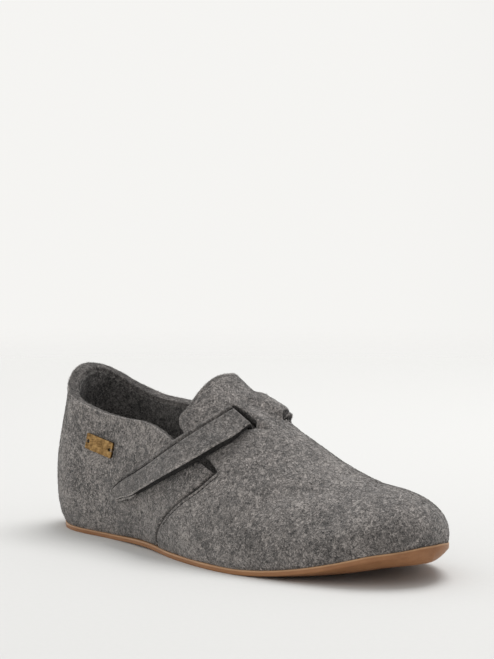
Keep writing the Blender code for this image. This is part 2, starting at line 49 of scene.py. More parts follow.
# Sizes of the shoe
LENGTH = 258.0
BALL_WIDTH = 88.6
INSTEP_HEIGHT = 81.8
HEEL_HEIGHT = 86.5
HEEL_RADIUS = 29.0
TOE_RADIUS = 26.0

# Felt
QUARTER_WALL = 5.0
VAMP_WALL = 4.0
SEAM_STEP = 0.7
COLLAR_FLARE = 3.8
FLARE_POWER = 14
RIM_SWELL = 1.4
SWELL_POWER = 5
STEP_POWER = 4
WALL_EASE = 0.4
GAP = 0.3
EDGE_ROUND = 0.7
SEAM_ROUND = 1.6
SEAM_GAP = 0.6
SLOT_ROUND = 0.9
LUMP_SPACING = 14.0
LUMP_DEPTH = 0.22
LUMP_WAVES = (1.4, 2.6)
PEBBLE_SPACING = 4.0
PEBBLE_DEPTH = 0.05
LINING_DEPTH = 2.3
LINING_STEP = 0.4
LINING_STITCH = 0.8
LINING_EASE = 0.5
TONGUE_LINE = 2.3
TONGUE_LINE_DEPTH = 0.40
SEAM_LINE = 2.6
SEAM_LINE_DEPTH = 0.75
SEAM_LINE_FROM = 0.14
LINE_WIDTH = 0.5

# Sole and insole
SOLE_EDGE = 2.7
HEEL_EDGE = 2.6
EDGE_SPAN = (0.25, 0.48)
SOLE_LIP = 0.8
SOLE_ROLL = 6.0
ROLL_REACH = 14.0
ROLL_SPAN = (0.62, 1.10)
SOLE_ROUND = 0.5
ARCH_LIFT = 0.8
ARCH_FROM = 0.22
ARCH_TO = 0.48
TOE_SPRING = 18.2
SPRING_FROM = 0.66
SPRING_POWER = 1.9
HEEL_LIFT = 6.4
HEEL_LIFT_TO = 0.06
TIP_DROP = 2.0
TIP_FROM = 0.93
INSOLE_THICKNESS = 2.0
INSOLE_ROUND = 1.4

# Strap and its tape
STRAP_WIDTH = 19.0
STRAP_END_WIDTH = 12.0
STRAP_FULL_AT = -0.413
STRAP_THICKNESS = 3.0
STRAP_CORNER = 4.0
STRAP_END = -0.812
STRAP_SEWN_END = 0.70
STRAP_ROUND = 0.6
GROOVE_INSET = 2.0
GROOVE_FROM = 1.0
GROOVE_FULL = 30.0
GROOVE_DEPTH = 1.2
GROOVE_WIDTH = 0.65
# Half width of the painted shade along the strap's sewn groove
GROOVE_SHADE_WIDTH = 0.40
# Width of the painted highlight along the lower edge of the strap's top face
STRAP_HIGHLIGHT_BAND = 0.6
BACKING = 1.6
BACKING_END = (2.0, 10.0)
# Reach from the free end from which each ring of the strap's wall under the top ring is painted shade
STRAP_SHADE_FROM = (5.0, 2.0, 0.0, 0.0)
TAB_LENGTH = 30.0
TAB_THICKNESS = 0.55
TAB_ROOM = 0.65
TAB_REACH = 1.1
TAB_END_REACH = 2.6
TAB_TUCK = 0.8
TAB_FADE = (13.0, 27.0)
SLOT_REACH = 9.0
BRIDGE_GIRTHS = (-0.290, 0.220)
BRIDGE_WIDTH = 36.0
BRIDGE_EASE = 6.0
BRIDGE_THICKNESS = 1.2
TAPE_WIDTH = 10.0
TAPE_THICKNESS = 1.4
TAPE_GIRTHS = (-0.745, -0.575)

# Metal tag
PLATE_THICKNESS = 1.0
PLATE_STANDOFF = 1.1
PLATE_ALONG = 0.306
PLATE_GIRTH = -0.638
PLATE_TILT = np.radians(9.5)
PLATE_HOLE_AT = 9.0
PLATE_BEVEL = 0.22
PLATE_BEVEL_STEPS = 3

# Stitches
THREAD_RADIUS = 0.17
STITCH_LENGTH = 2.1
STITCH_PITCH = 3.0
LINING_PITCH = 3.6
TAG_THREADS = (-0.45, 0.45)
TAG_THREAD_REACH = 2.6
TAG_PITCH = 0.8
STITCH_STEPS = 7
STITCH_SIDES = 6
STITCH_ARCH = 1.6
STITCH_DIP = 0.6
STITCH_TAPER = (0.06, 0.94)

# Camera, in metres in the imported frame
CAMERA_PLACE = (0.7240, -0.6734, 0.1901)
CAMERA_AIM = (-0.0021, 0.0100, 0.1140)
CAMERA_LENS = 104.88
CAMERA_SENSOR = 36.0

# Rims of the sheets: share of the way from the outer to the inner edge, reach outwards
FLAT_RIM = ((0.25, 0.0), (0.5, 0.05), (0.75, 0.0))
SOLE_RIM = ((0.16, 0.0), (0.5, 0.05), (0.9, 0.0))
STRAP_RIM = ((0.13, 0.0), (0.40, 0.04), (0.60, -0.10), (0.80, -0.25))

# Places of a sheet's shades: its outer face; its inner side, which also holds the painted shade of the
# strap's walls and groove and of the slots; and its edge, which holds the strap's painted highlight and
# the quarter's cut rim with painted shade
FACE = 0
INNER = 1
EDGE = 2

# Colours of the felt: middle of its grain, then places on the grain and their levels of the tone
FELT_MIDDLE = 0.505
FELT_LEVELS = ((0.36, 0.12), (0.47, 0.68), (0.54, 1.20), (0.66, 2.60))
FIBRE_SHARPNESS = 16.0
THREAD_DIM = 0.6

# Nap of the felt
WALL_FIBRES = 32000
STRAP_FIBRES = 8000
NAP_LENGTH = (1.0, 3.4)
NAP_RADIUS = 0.042
NAP_LIFT = (0.02, 0.32)
NAP_BEND = 0.16
NAP_LOWEST = -0.8
NAP_TINTS = (0.45, 0.30, 0.25)

# Studio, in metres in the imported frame
FLOOR_REACH = 2.4
FLOOR_FADE = (0.4, 1.6)
DOME_AXIS = (-0.96, -0.28, 0.0)
DOME_STOPS = (
    (0.00, (0.50, 0.50, 0.50)),
    (0.40, (0.74, 0.74, 0.73)),
    (0.72, (0.915, 0.908, 0.888)),
    (0.93, (0.915, 0.908, 0.888)),
    (1.00, (1.80, 1.79, 1.76)),
)
LAMP_PLACE = (-0.10, 0.72, 1.90)
LAMP_SIZE = 1.3
LAMP_POWER = 27.0

SECTIONS = table("at lateral medial swing wall rise crown ridge keel", (
    (0.00, 0.000, 0.000, 0.000, 1.30, 0.244, 0.90, 1.614, 0.000),
    (0.08, 0.305, 0.277, 0.000, 1.30, 0.269, 0.90, 1.577, 0.000),
    (0.20, 0.327, 0.327, 0.000, 1.28, 0.312, 0.88, 1.455, 0.006),
    (0.36, 0.378, 0.316, 0.000, 1.24, 0.330, 0.79, 1.216, 0.023),
    (0.50, 0.479, 0.372, 0.000, 1.18, 0.306, 0.64, 1.000, 0.043),
    (0.64, 0.526, 0.474, 0.003, 1.12, 0.257, 0.57, 0.812, 0.059),
    (0.76, 0.485, 0.500, 0.018, 1.10, 0.224, 0.61, 0.660, 0.070),
    (0.88, 0.386, 0.440, 0.044, 1.10, 0.188, 0.64, 0.555, 0.080),
    (1.00, 0.000, 0.000, 0.077, 1.08, 0.147, 0.62, 0.526, 0.090),
))
RAIL_ENDS = {
    "featherline": (0.008, 0.994),
    "wall": (-0.070, 1.003),
    "crown": (0.070, 0.971),
    "ridge": (0.155, 0.876),
}
COLLAR = table("along lateral medial", (
    (0.00, 1.020, 1.020),
    (0.05, 1.003, 1.003),
    (0.10, 0.955, 0.957),
    (0.15, 0.899, 0.903),
    (0.20, 0.850, 0.862),
    (0.25, 0.812, 0.826),
    (0.30, 0.777, 0.812),
    (0.35, 0.761, 0.803),
    (0.40, 0.751, 0.775),
    (0.45, 0.684, 0.692),
    (0.50, 0.600, 0.600),
    (0.56, 0.503, 0.503),
))
SLIT_RISE = 0.498
SEAM = table("rise along", (
    (0.000, 0.442),
    (0.080, 0.452),
    (0.200, 0.480),
    (0.300, 0.507),
    (0.380, 0.527),
    (SLIT_RISE, 0.5465),
))
TONGUE = table("rise along", (
    (SLIT_RISE, 0.5465),
    (0.503, 0.5488),
    (0.512, 0.5470),
    (0.520, 0.5420),
    (0.534, 0.5265),
    (0.553, 0.4945),
    (0.573, 0.4580),
    (0.595, 0.4480),
    (0.665, 0.4490),
    (0.780, 0.4480),
    (0.850, 0.4475),
    (1.000, 0.4490),
))
STRAP_PATH = table("girth along", (
    (STRAP_END, 0.363),
    (-0.777, 0.380),
    (-0.633, 0.449),
    (-0.553, 0.476),
    (-0.427, 0.505),
    (-0.323, 0.521),
    (-0.202, 0.532),
    (0.000, 0.535),
    (0.130, 0.525),
    (0.202, 0.517),
    (0.323, 0.497),
    (0.427, 0.475),
    (0.553, 0.440),
    (STRAP_SEWN_END, 0.383),
))
STRAP_UNDER = VAMP_WALL + GAP + STRAP_THICKNESS
STRAP_LIFT = (
    # girth, lift
    (STRAP_END, 2.1),
    (-0.560, 2.5),
    (-0.400, 2.0),
    (-0.198, 1.4),
    (-0.176, -STRAP_UNDER),
    (0.110, -STRAP_UNDER),
    (0.185, 1.0),
    (0.300, 0.9),
    (0.450, 0.5),
    (STRAP_SEWN_END, 0.4),
)
STRAP_TILT = (
    # girth, fall from the middle to the edge on the heel's side
    (STRAP_END, 0.4),
    (-0.650, 1.3),
    (-0.400, 1.1),
    (-0.240, 0.3),
    (0.110, 0.0),
    (0.190, 0.7),
    (0.300, 0.7),
    (0.450, 0.0),
    (STRAP_SEWN_END, 0.0),
)
STRAP_NARROW = (
    # girth, how much the edge on the toe's side is drawn in
    (STRAP_END, 4.5),
    (-0.720, 0.0),
    (-0.300, 0.0),
    (-0.200, 1.5),
    (0.100, 1.5),
    (0.190, 0.0),
    (STRAP_SEWN_END, 0.0),
)
SLOTS = (
    # girth of its start and end, its limits across on the toe's and the heel's side, corner radius;
    # the last row is the end of the far slot, which turns up over the instep
    (-0.212, -0.144, -8.4, 11.2, 2.9),
    (0.115, 0.175, -10.0, 10.0, 2.4),
    (0.030, 0.165, -12.2, -9.0, 1.5),
)
SWELL_HEIGHT = 4.0
SWELL_TILT = 0.9
SWELL_GIRTHS = (-0.080, 0.080)
SWELL_TOE = (10.0, 12.2)
SWELL_HEEL = (6.0, 15.0)

# Soft troughs and ridges of the felt: place, heading of its length from the toe direction, then
# length, width and depth in millimetres. A negative depth is a trough.
CREASES = (
    # along, girth, heading, length, width, depth
    (0.548, -0.120, 5.0, 10.0, 5.0, 2.0),
    (0.562, -0.158, 38.0, 4.5, 1.6, -1.5),
    (0.700, -0.330, 35.0, 24.0, 5.0, -0.35),
    (0.730, -0.420, 30.0, 26.0, 6.0, 0.30),
    (0.640, -0.560, 60.0, 22.0, 6.0, -0.30),
    (0.600, -0.700, 75.0, 20.0, 7.0, 0.25),
    (0.250, -0.780, 80.0, 18.0, 9.0, -0.40),
    (0.360, -0.850, 10.0, 30.0, 7.0, 0.35),
    (0.700, 0.400, -35.0, 26.0, 6.0, -0.40),
    (0.640, 0.600, -60.0, 24.0, 7.0, 0.30),
    (0.280, 0.750, -70.0, 22.0, 9.0, -0.40),
)

# Mesh density
VAMP_COLUMNS = 128
SEAM_ROWS = 40
TONGUE_ROWS = 42
QUARTER_COLUMNS = 96
QUARTER_ROWS = 60
QUARTER_SPREAD = 1.6
EDGE_SHARES = (0.0, 0.0012, 0.0028, 0.0050, 0.0080, 0.0110, 0.0130, 0.0150, 0.0170, 0.0190, 0.0210,
               0.0230, 0.0250, 0.0270, 0.0300)
SOLE_COLUMNS = 240
SOLE_ROWS = 64
STRAP_SECTIONS = 200
STRAP_ROWS = 64
CORNER_SECTIONS = 12
CORNER_SPAN = 4
DIVE_SECTIONS = 24
TAPE_SECTIONS = 40
TAPE_ROWS = 14
SLOT_SECTIONS = 16
SLOT_ROWS = 12
PATH_BLOCK = 4000

# Search and joining
STEP = 1e-4
TINY = 1e-12
COLLAR_RISES = (0.2, 0.8)
WELD = 1e-7
RNG_SEED = 7


def smooth(at, values, x, slope=False):
    """Value (or slope) at x of a smooth curve through the given rows."""
    x = np.asarray(x, float)
    tangents = np.gradient(values, at)
    k = np.clip(np.searchsorted(at, x) - 1, 0, len(at) - 2)
    span = at[k + 1] - at[k]
    t = (x - at[k]) / span
    if slope:
        chord = (values[k + 1] - values[k]) / span
        ends = tangents[k] * (1 - t) * (1 - 3 * t) + tangents[k + 1] * t * (3 * t - 2)
        return 6 * chord * t * (1 - t) + ends
    start = values[k] * (1 + 2 * t) * (1 - t) ** 2 + tangents[k] * span * t * (1 - t) ** 2
    end = values[k + 1] * t * t * (3 - 2 * t) + tangents[k + 1] * span * t * t * (t - 1)
    return start + end


def curve(columns, x):
    """Value at x of a smooth curve through a table of two columns."""
    return smooth(*columns.values(), x)


def ease(x, start, end):
    """Soft ramp from 0 at start to 1 at end."""
    t = np.clip((x - start) / (end - start), 0.0, 1.0)
    return t * t * (3 - 2 * t)


def matched(first, second):
    """Two arrays spread to one shape."""
    return np.broadcast_arrays(np.asarray(first, float), np.asarray(second, float))


def side_name(side):
    return "lateral" if side < 0 else "medial"


def section(name, at, slope=False):
    return smooth(SECTIONS["at"], SECTIONS[name], at, slope)


def half_width(side, at):
    """Half width of the featherline, with round ends of the heel and toe radius."""
    rows = SECTIONS["at"]
    width = BALL_WIDTH * SECTIONS[side_name(side)]
    fullness = np.empty(len(rows))
    fullness[1:-1] = width[1:-1] / (2 * np.sqrt(rows[1:-1] * (1 - rows[1:-1])))
    fullness[0] = np.sqrt(2 * HEEL_RADIUS * LENGTH) / 2
    fullness[-1] = np.sqrt(2 * TOE_RADIUS * LENGTH) / 2
    return smooth(rows, fullness, at) * 2 * np.sqrt(np.clip(at * (1 - at), 0, None))


def sole_edge(at):
    """Thickness of the sole at its edge: thinner under the heel."""
    return HEEL_EDGE + (SOLE_EDGE - HEEL_EDGE) * ease(at, *EDGE_SPAN)


def seat(at):
    """Height of the featherline above the floor."""
    arch = ARCH_LIFT * np.sin(np.pi * np.clip((at - ARCH_FROM) / (ARCH_TO - ARCH_FROM), 0, 1)) ** 2
    spring = TOE_SPRING * np.clip((at - SPRING_FROM) / (1 - SPRING_FROM), 0, 1) ** SPRING_POWER
    heel = HEEL_LIFT * np.clip(1 - at / HEEL_LIFT_TO, 0, 1) ** 2
    tip = TIP_DROP * ease(at, TIP_FROM, 1.0)
    return sole_edge(at) + GAP + arch + spring + heel - tip


def rail_x(name, at):
    start, end = RAIL_ENDS[name]
    return LENGTH * (start + (end - start) * at)


def last_point(side, along, rise):
    """Point of the last; rise runs from the featherline (0) to the ridge (1)."""
    along, rise = matched(along, rise)
    at = (1 - np.cos(np.pi * along)) / 2
    width = half_width(side, at)
    swing = BALL_WIDTH * section("swing", at)
    floor = seat(at)
    keel = BALL_WIDTH * section("keel", at)
    ridge = INSTEP_HEIGHT * section("ridge", at)
    ridge_x = rail_x("ridge", at)
    crown_x = rail_x("crown", at)
    start, end = RAIL_ENDS["ridge"]
    drift = (crown_x - ridge_x) / (LENGTH * (end - start))
    crown_y = keel + BALL_WIDTH * section("keel", at, True) * drift
    crown_z = ridge + INSTEP_HEIGHT * section("ridge", at, True) * drift
    wall_y = swing + side * width * section("wall", at)
    wall_z = floor + INSTEP_HEIGHT * section("rise", at)
    rails = (
        (rail_x("featherline", at), swing + side * width, floor),
        (rail_x("wall", at), wall_y, wall_z),
        (crown_x, crown_y + side * width * section("crown", at), crown_z),
        (ridge_x, keel, ridge),
    )
    weights = ((1 - rise) ** 3, 3 * (1 - rise) ** 2 * rise, 3 * (1 - rise) * rise ** 2, rise ** 3)
    return sum(weight[..., None] * np.stack(rail, -1) for weight, rail in zip(weights, rails))


def unit(vectors):
    return vectors / np.maximum(np.linalg.norm(vectors, axis=-1, keepdims=True), TINY)


def last_frame(side, along, rise):
    """Point and outward normal of the last on one side."""
    along, rise = matched(along, rise)
    before, after = (np.clip(along + step, 0, 1) for step in (-STEP, STEP))
    below, above = (np.clip(rise + step, 0, 1) for step in (-STEP, STEP))
    forward = last_point(side, after, rise) - last_point(side, before, rise)
    upward = last_point(side, along, above) - last_point(side, along, below)
    return last_point(side, along, rise), unit(np.cross(forward, upward)) * -side


def skin(along, girth):
    """Point and outward normal of the last over both sides."""
    along, girth = matched(along, girth)
    rise = 1 - np.abs(girth)
    outer = last_frame(-1, along, rise)
    inner = last_frame(1, along, rise)
    lateral = (girth <= 0)[..., None]
    return np.where(lateral, outer[0], inner[0]), np.where(lateral, outer[1], inner[1])


def nearest_skin(target, along, girth, rounds=4):
    """Point and normal of the last nearest to a target, searched from a first guess."""
    for _ in range(rounds):
        point, _normal = skin(along, girth)
        ahead = skin(along + STEP, girth)[0] - point
        beside = skin(along, girth + STEP)[0] - point
        slopes = np.stack((ahead, beside), -2) / STEP
        miss = (target - point)[..., None]
        step = np.linalg.solve(slopes @ slopes.swapaxes(-1, -2), slopes @ miss)
        along = along + step[..., 0, 0]
        girth = girth + step[..., 1, 0]
    return skin(along, girth)


def collar_height(side, along):
    return HEEL_HEIGHT * smooth(COLLAR["along"], COLLAR[side_name(side)], along)


def vamp_start(rise):
    """Back edge of the vamp and tongue at each rise."""
    seam = curve(SEAM, np.minimum(rise, SLIT_RISE))
    tongue = curve(TONGUE, np.maximum(rise, SLIT_RISE))
    return np.where(rise <= SLIT_RISE, seam, tongue)


def collar_rise(side, share, rounds=40):
    """Rise at which each quarter column meets the collar."""
    low = np.full(share.shape, COLLAR_RISES[0])
    high = np.full(share.shape, COLLAR_RISES[1])
    for _ in range(rounds):
        middle = (low + high) / 2
        along = share * curve(SEAM, np.minimum(middle, SLIT_RISE))
        under = last_point(side, along, middle)[..., 2] < collar_height(side, along)
        low = np.where(under, middle, low)
        high = np.where(under, high, middle)
    return np.where(share < 1, low, SLIT_RISE)


def foot_outline(side, along, inset):
    """Featherline moved sideways by an inset, in plan."""
    before, after = (last_point(side, np.clip(along + step, 0, 1), 0.0)[..., :2] for step in (-STEP, STEP))
    run = unit(after - before)
    inward = np.stack((run[..., 1], -run[..., 0]), -1) * side
    return last_point(side, along, 0.0)[..., :2] + inward * inset


def share_at(x):
    """Share of the featherline's length at a distance from the heel."""
    start, end = RAIL_ENDS["featherline"]
    return np.clip((x / LENGTH - start) / (end - start), 0, 1)


def plate_frame():
    """Middle of the plate on the quarter, with its long, short and outward directions."""
    point, normal = skin(PLATE_ALONG, PLATE_GIRTH)
    lengthwise = np.array((np.cos(PLATE_TILT), 0.0, -np.sin(PLATE_TILT)))
    lengthwise = unit(lengthwise - normal * (lengthwise @ normal))
    return point + normal * PLATE_STANDOFF, lengthwise, np.cross(normal, lengthwise), normal


def tag_middle():
    """Middle of the metal tag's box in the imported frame, in millimetres."""
    low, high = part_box("plate")
    return (np.array(low) + np.array(high)) / 2 / MM


def frame_shift():
    """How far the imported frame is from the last's along the floor, from the middle of the metal tag."""
    middle, _lengthwise, _upright, normal = plate_frame()
    shift = tag_middle() - middle - normal * PLATE_THICKNESS / 2
    shift[2] = 0.0
    return shift


def drop(distance, radius):
    """How far a rounded edge falls below the face, at a distance inside the edge."""
    inside = np.clip(radius - distance, 0, radius)
    return radius - np.sqrt(radius ** 2 - inside ** 2)


def run_lengths(grid, axis):
    """Length along the grid from its first line, and from its last line."""
    steps = np.linalg.norm(np.diff(grid, axis=axis), axis=-1)
    first = np.insert(np.cumsum(steps, axis=axis), 0, 0.0, axis=axis)
    total = np.take(first, [-1], axis=axis)
    return first, total - first


def lumps(points, spacing, seed, waves=28):
    """Soft uneven height between about -1 and 1, with bumps about one spacing apart."""
    rng = np.random.default_rng(seed)
    directions = unit(rng.normal(size=(waves, 3)))
    lengths = spacing * rng.uniform(*LUMP_WAVES, waves)
    phases = rng.uniform(0, 2 * np.pi, waves)
    flat = points.reshape(-1, 3)
    height = np.zeros(len(flat))
    for direction, length, phase in zip(directions, lengths, phases):
        height += np.sin(flat @ direction * (2 * np.pi / length) + phase)
    return (height / np.sqrt(waves)).reshape(points.shape[:-1])


def creases(points):
    """Height of the troughs and ridges at each point."""
    height = np.zeros(points.shape[:-1])
    for along, girth, heading, length, width, depth in CREASES:
        middle, normal = skin(along, girth)
        forward = unit(skin(along + STEP, girth)[0] - middle)
        sideways = np.cross(normal, forward)
        angle = np.radians(heading)
        lengthwise = forward * np.cos(angle) + sideways * np.sin(angle)
        across = np.cross(normal, lengthwise)
        offset = points - middle
        u = offset @ lengthwise / length
        v = offset @ across / width
        w = offset @ normal / length
        height += depth * np.exp(-u * u - v * v - w * w)
    return height


def felt_height(points):
    """Unevenness of the outer face of the felt."""
    broad = LUMP_DEPTH * lumps(points, LUMP_SPACING, RNG_SEED)
    fine = PEBBLE_DEPTH * lumps(points, PEBBLE_SPACING, RNG_SEED + 1)
    return broad + fine + creases(points)


def edge_shares(count):
    """Shares from 0 to 1 with closer lines at the first edge."""
    rest = np.linspace(EDGE_SHARES[-1], 1, count - len(EDGE_SHARES) + 1)
    return np.concatenate((EDGE_SHARES[:-1], rest))


def place(points):
    """Millimetres in the last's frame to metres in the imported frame."""
    return (np.asarray(points) + SHIFT) * MM


def add_object(name, data):
    thing = bpy.data.objects.new(name, data)
    bpy.context.scene.collection.objects.link(thing)
    return thing


def make_object(name, points, faces, shades, shade_of=None, weld=True):
    """Closed smooth mesh object; weld joins points that coincide and turns the faces outwards."""
    mesh = bpy.data.meshes.new(name)
    mesh.from_pydata(place(points).tolist(), [], [list(map(int, face)) for face in faces])
    for shade in shades:
        mesh.materials.append(shade)
    if shade_of is not None:
        mesh.polygons.foreach_set("material_index", np.asarray(shade_of, np.int32))
    if weld:
        work = bmesh.new()
        work.from_mesh(mesh)
        bmesh.ops.remove_doubles(work, verts=work.verts, dist=WELD)
        bmesh.ops.dissolve_degenerate(work, edges=work.edges, dist=WELD)
        bmesh.ops.recalc_face_normals(work, faces=work.faces)
        work.to_mesh(mesh)
        work.free()
    mesh.shade_smooth()
    return add_object(name, mesh)


def grid_faces(rows, columns, start):
    row, column = np.meshgrid(np.arange(rows - 1), np.arange(columns - 1), indexing="ij")
    corner = start + row * columns + column
    return np.stack((corner, corner + 1, corner + columns + 1, corner + columns), -1).reshape(-1, 4)


def border(rows, columns, sewn):
    """Row and column of the points round a grid, without its last column, or both, where they are sewn."""
    loop = [(0, c) for c in range(columns)]
    if not sewn:
        loop += [(r, columns - 1) for r in range(1, rows - 1)]
    loop += [(rows - 1, c) for c in range(columns - 1, -1, -1)]
    if sewn != "both":
        loop += [(r, 0) for r in range(rows - 2, 0, -1)]
    return np.array(loop)


def closed_sheet(name, over, under, rim, shades, sewn=False, over_shade=FACE, under_shade=FACE,
                 rim_shades=None):
    """Closed mesh between two matching grids.

    rim_shades has one more entry than rim, from the over edge to the under edge. A shade is
    one place, or one for each face. sewn is "last" or "both" where those columns meet themselves.
    """
    rows, columns = over.shape[:2]
    loop = border(rows, columns, sewn)
    r, c = loop.T
    edges = [(r == 0, r + 1, c), (r == rows - 1, r - 1, c)]
    if sewn != "both":
        edges.append((c == 0, r, c + 1))
    if not sewn:
        edges.append((c == columns - 1, r, c - 1))
    away = np.zeros((len(loop), 3))
    for on_edge, r_in, c_in in edges:
        k = np.flatnonzero(on_edge)
        away[k] += unit(over[r[k], c[k]] - over[r_in[k], c_in[k]])
    away = unit(away)
    rings = [over[r, c] + (under[r, c] - over[r, c]) * share + away * reach for share, reach in rim]
    points = np.concatenate([over.reshape(-1, 3), under.reshape(-1, 3)] + rings)
    count = rows * columns
    chain = [r * columns + c]
    chain += [2 * count + k * len(loop) + np.arange(len(loop)) for k in range(len(rim))]
    chain += [count + r * columns + c]
    blocks = [grid_faces(rows, columns, 0), grid_faces(rows, columns, count)]
    for near, far in zip(chain, chain[1:]):
        blocks.append(np.stack((near, np.roll(near, -1), np.roll(far, -1), far), -1))
    block_shades = [over_shade, under_shade] + list(rim_shades or [FACE] * (len(rim) + 1))
    shade_of = np.concatenate(
        [np.broadcast_to(shade, len(block)) for shade, block in zip(block_shades, blocks)])
    return make_object(name, points, np.concatenate(blocks), shades, shade_of)


def strap_coordinates(points):
    """Distance along the strap's path from its free end, and across it, for points near the path."""
    girths = path_girths()
    middle, _normal, sideways = strap_line(girths)
    lengths = path_lengths(girths)
    flat = points.reshape(-1, 3)
    along = np.empty(len(flat))
    across = np.empty(len(flat))
    for start in range(0, len(flat), PATH_BLOCK):
        block = slice(start, start + PATH_BLOCK)
        k = np.linalg.norm(flat[block, None] - middle, axis=-1).argmin(axis=1)
        along[block] = lengths[k]
        across[block] = ((flat[block] - middle[k]) * sideways[k]).sum(-1)
    return along.reshape(points.shape[:-1]), across.reshape(points.shape[:-1])


def slot_distance(points):
    """Distance of each point outside the nearest slot, which has round corners."""
    along, across = strap_coordinates(points)
    nearest = np.full(points.shape[:-1], np.inf)
    for start, end, low, high, corner in SLOTS:
        near, far = girth_length(np.array((start, end)))
        beyond = np.maximum(np.abs(along - (near + far) / 2) - (far - near) / 2 + corner, 0)
        beside = np.maximum(np.abs(across - (low + high) / 2) - (high - low) / 2 + corner, 0)
        nearest = np.minimum(nearest, np.maximum(np.hypot(beyond, beside) - corner, 0))
    return nearest


def bridge_swell(points):
    """How far the strap under the bridge lifts the felt, most at the far slot."""
    along, across = strap_coordinates(points)
    start, full, slot_end = girth_length(np.array((*SWELL_GIRTHS, SLOTS[1][1])))
    rise = ease(along, start, full) * (1 - ease(along, slot_end - SLOT_ROUND, slot_end))
    sides = (1 - ease(-across, *SWELL_TOE)) * (1 - ease(across, *SWELL_HEEL))
    return (SWELL_HEIGHT - SWELL_TILT * across / (STRAP_WIDTH / 2)) * rise * sides


def level_foot(inner, outer, side, along, wall, row):
    """Rest the outer foot of the wall on the sole and set its inner foot level with it."""
    outer[row, :, 2] -= GAP
    inner[row, :, :2] = foot_outline(side, along, wall)
    inner[row, :, 2] = outer[row, :, 2]


def felt_vamp(shades):
    """Vamp with its tongue: one sheet from the seam round the toe."""
    seam_rises = np.linspace(0, SLIT_RISE, SEAM_ROWS + 1)
    tongue_rises = np.linspace(SLIT_RISE, 1, TONGUE_ROWS + 1)
    rises = np.concatenate((seam_rises, tongue_rises[1:]))
    girths = np.concatenate((rises - 1, (1 - rises)[-2::-1]))
    start = vamp_start(1 - np.abs(girths))[:, None] + SEAM_GAP / LENGTH
    along = start + (1 - start) * edge_shares(VAMP_COLUMNS)
    point, normal = skin(along, girths[:, None])
    edge, _to_toe = run_lengths(point, 1)
    rise = 1 - np.abs(girths)[:, None]
    tongue = rise > SLIT_RISE
    sewn_part = ease(rise, SEAM_LINE_FROM / 2, SEAM_LINE_FROM) * ~tongue
    line_at = np.where(tongue, TONGUE_LINE, SEAM_LINE)
    line_depth = np.where(tongue, TONGUE_LINE_DEPTH, SEAM_LINE_DEPTH * sewn_part)
    line = line_depth * np.exp(-((edge - line_at) / LINE_WIDTH) ** 2)
    edge_drop = np.where(tongue, drop(edge, EDGE_ROUND), drop(edge, SEAM_ROUND))
    height = felt_height(point) + bridge_swell(point) - edge_drop - line
    height -= drop(slot_distance(point), SLOT_ROUND)
    over = point + normal * height[..., None]
    under = point - normal * (VAMP_WALL - np.where(tongue, drop(edge, EDGE_ROUND), 0.0))[..., None]
    for row, side in ((0, -1), (len(girths) - 1, 1)):
        level_foot(under, over, side, along[row], VAMP_WALL, row)
    for grid in (over, under):
        grid[:, -1] = (grid[:, -1] + grid[::-1, -1]) / 2
    # The inner face takes the dark lining felt: partly the lining's own tone, partly painted shade inside
    # the shoe
    return closed_sheet("felt_vamp", over, under, FLAT_RIM, shades, sewn="last", under_shade=INNER)


def quarter_grids():
    """Outer and inner face of the quarter, its normals and the distance below the collar."""
    shares = np.sort(1 - edge_shares(QUARTER_COLUMNS))
    levels = 1 - (1 - np.linspace(0, 1, QUARTER_ROWS + 1)) ** QUARTER_SPREAD
    halves = []
    for side in (-1, 1):
        height = collar_rise(side, shares)
        rise = height * levels[:, None]
        along = shares * curve(SEAM, rise) - shares * SEAM_GAP / LENGTH
        point, normal = last_frame(side, along, rise)
        lean = COLLAR_FLARE * (1 - shares) * levels[:, None] ** FLARE_POWER
        lean = lean - SEAM_STEP * shares ** STEP_POWER
        heel = ease(1 - shares, 0.0, WALL_EASE)
        foot_wall = VAMP_WALL + (QUARTER_WALL - VAMP_WALL) * heel
        wall = foot_wall + RIM_SWELL * heel * levels[:, None] ** SWELL_POWER
        point = point + normal * lean[..., None]
        under = point - normal * wall[..., None]
        level_foot(under, point, side, along[0], foot_wall[:, None], 0)
        halves.append((point, normal, under))
    point, normal, under = (
        np.concatenate((outer[:, ::-1], inner[:, 1:]), axis=1) for outer, inner in zip(*halves)
    )
    _foot, collar = run_lengths(point, 0)
    from_outer, from_inner = run_lengths(point, 1)
    seam = np.minimum(from_outer, from_inner)
    round_off = np.maximum(drop(collar, EDGE_ROUND), drop(seam, SEAM_ROUND))
    over = point + normal * (felt_height(point) - round_off)[..., None]
    lining = LINING_STEP * ease(collar, LINING_DEPTH - LINING_EASE / 2, LINING_DEPTH + LINING_EASE / 2)
    lining[0] = 0.0
    under = under - normal * (lining - drop(collar, EDGE_ROUND))[..., None]
    return over, under, normal, collar


def felt_quarter(grids, shades):
    """Quarter: one sheet from the outer seam round the heel to the inner seam."""
    over, under, _normal, collar = grids
    # The rim and the inner face above the lining take the cut felt: the cut edge's own tone, darkened
    # partly as painted shade
    inside = np.where(collar[1:, 1:] > LINING_DEPTH, INNER, EDGE).ravel()
    return closed_sheet("felt_quarter", over, under, FLAT_RIM, shades, under_shade=inside,
                        rim_shades=[EDGE] * (len(FLAT_RIM) + 1))


def foot_plan(inset):
    """Plan of a slab inside the featherline, and how far its points are from its edge."""
    along = np.linspace(0, 1, SOLE_COLUMNS + 1)
    outer = foot_outline(-1, along, inset)
    inner = foot_outline(1, along, inset)
    across = ((1 - np.cos(np.pi * np.linspace(0, 1, SOLE_ROWS + 1))) / 2)[:, None]
    edge = np.linalg.norm(inner - outer, axis=-1) * np.minimum(across, 1 - across)
    return outer + (inner - outer) * across[..., None], edge


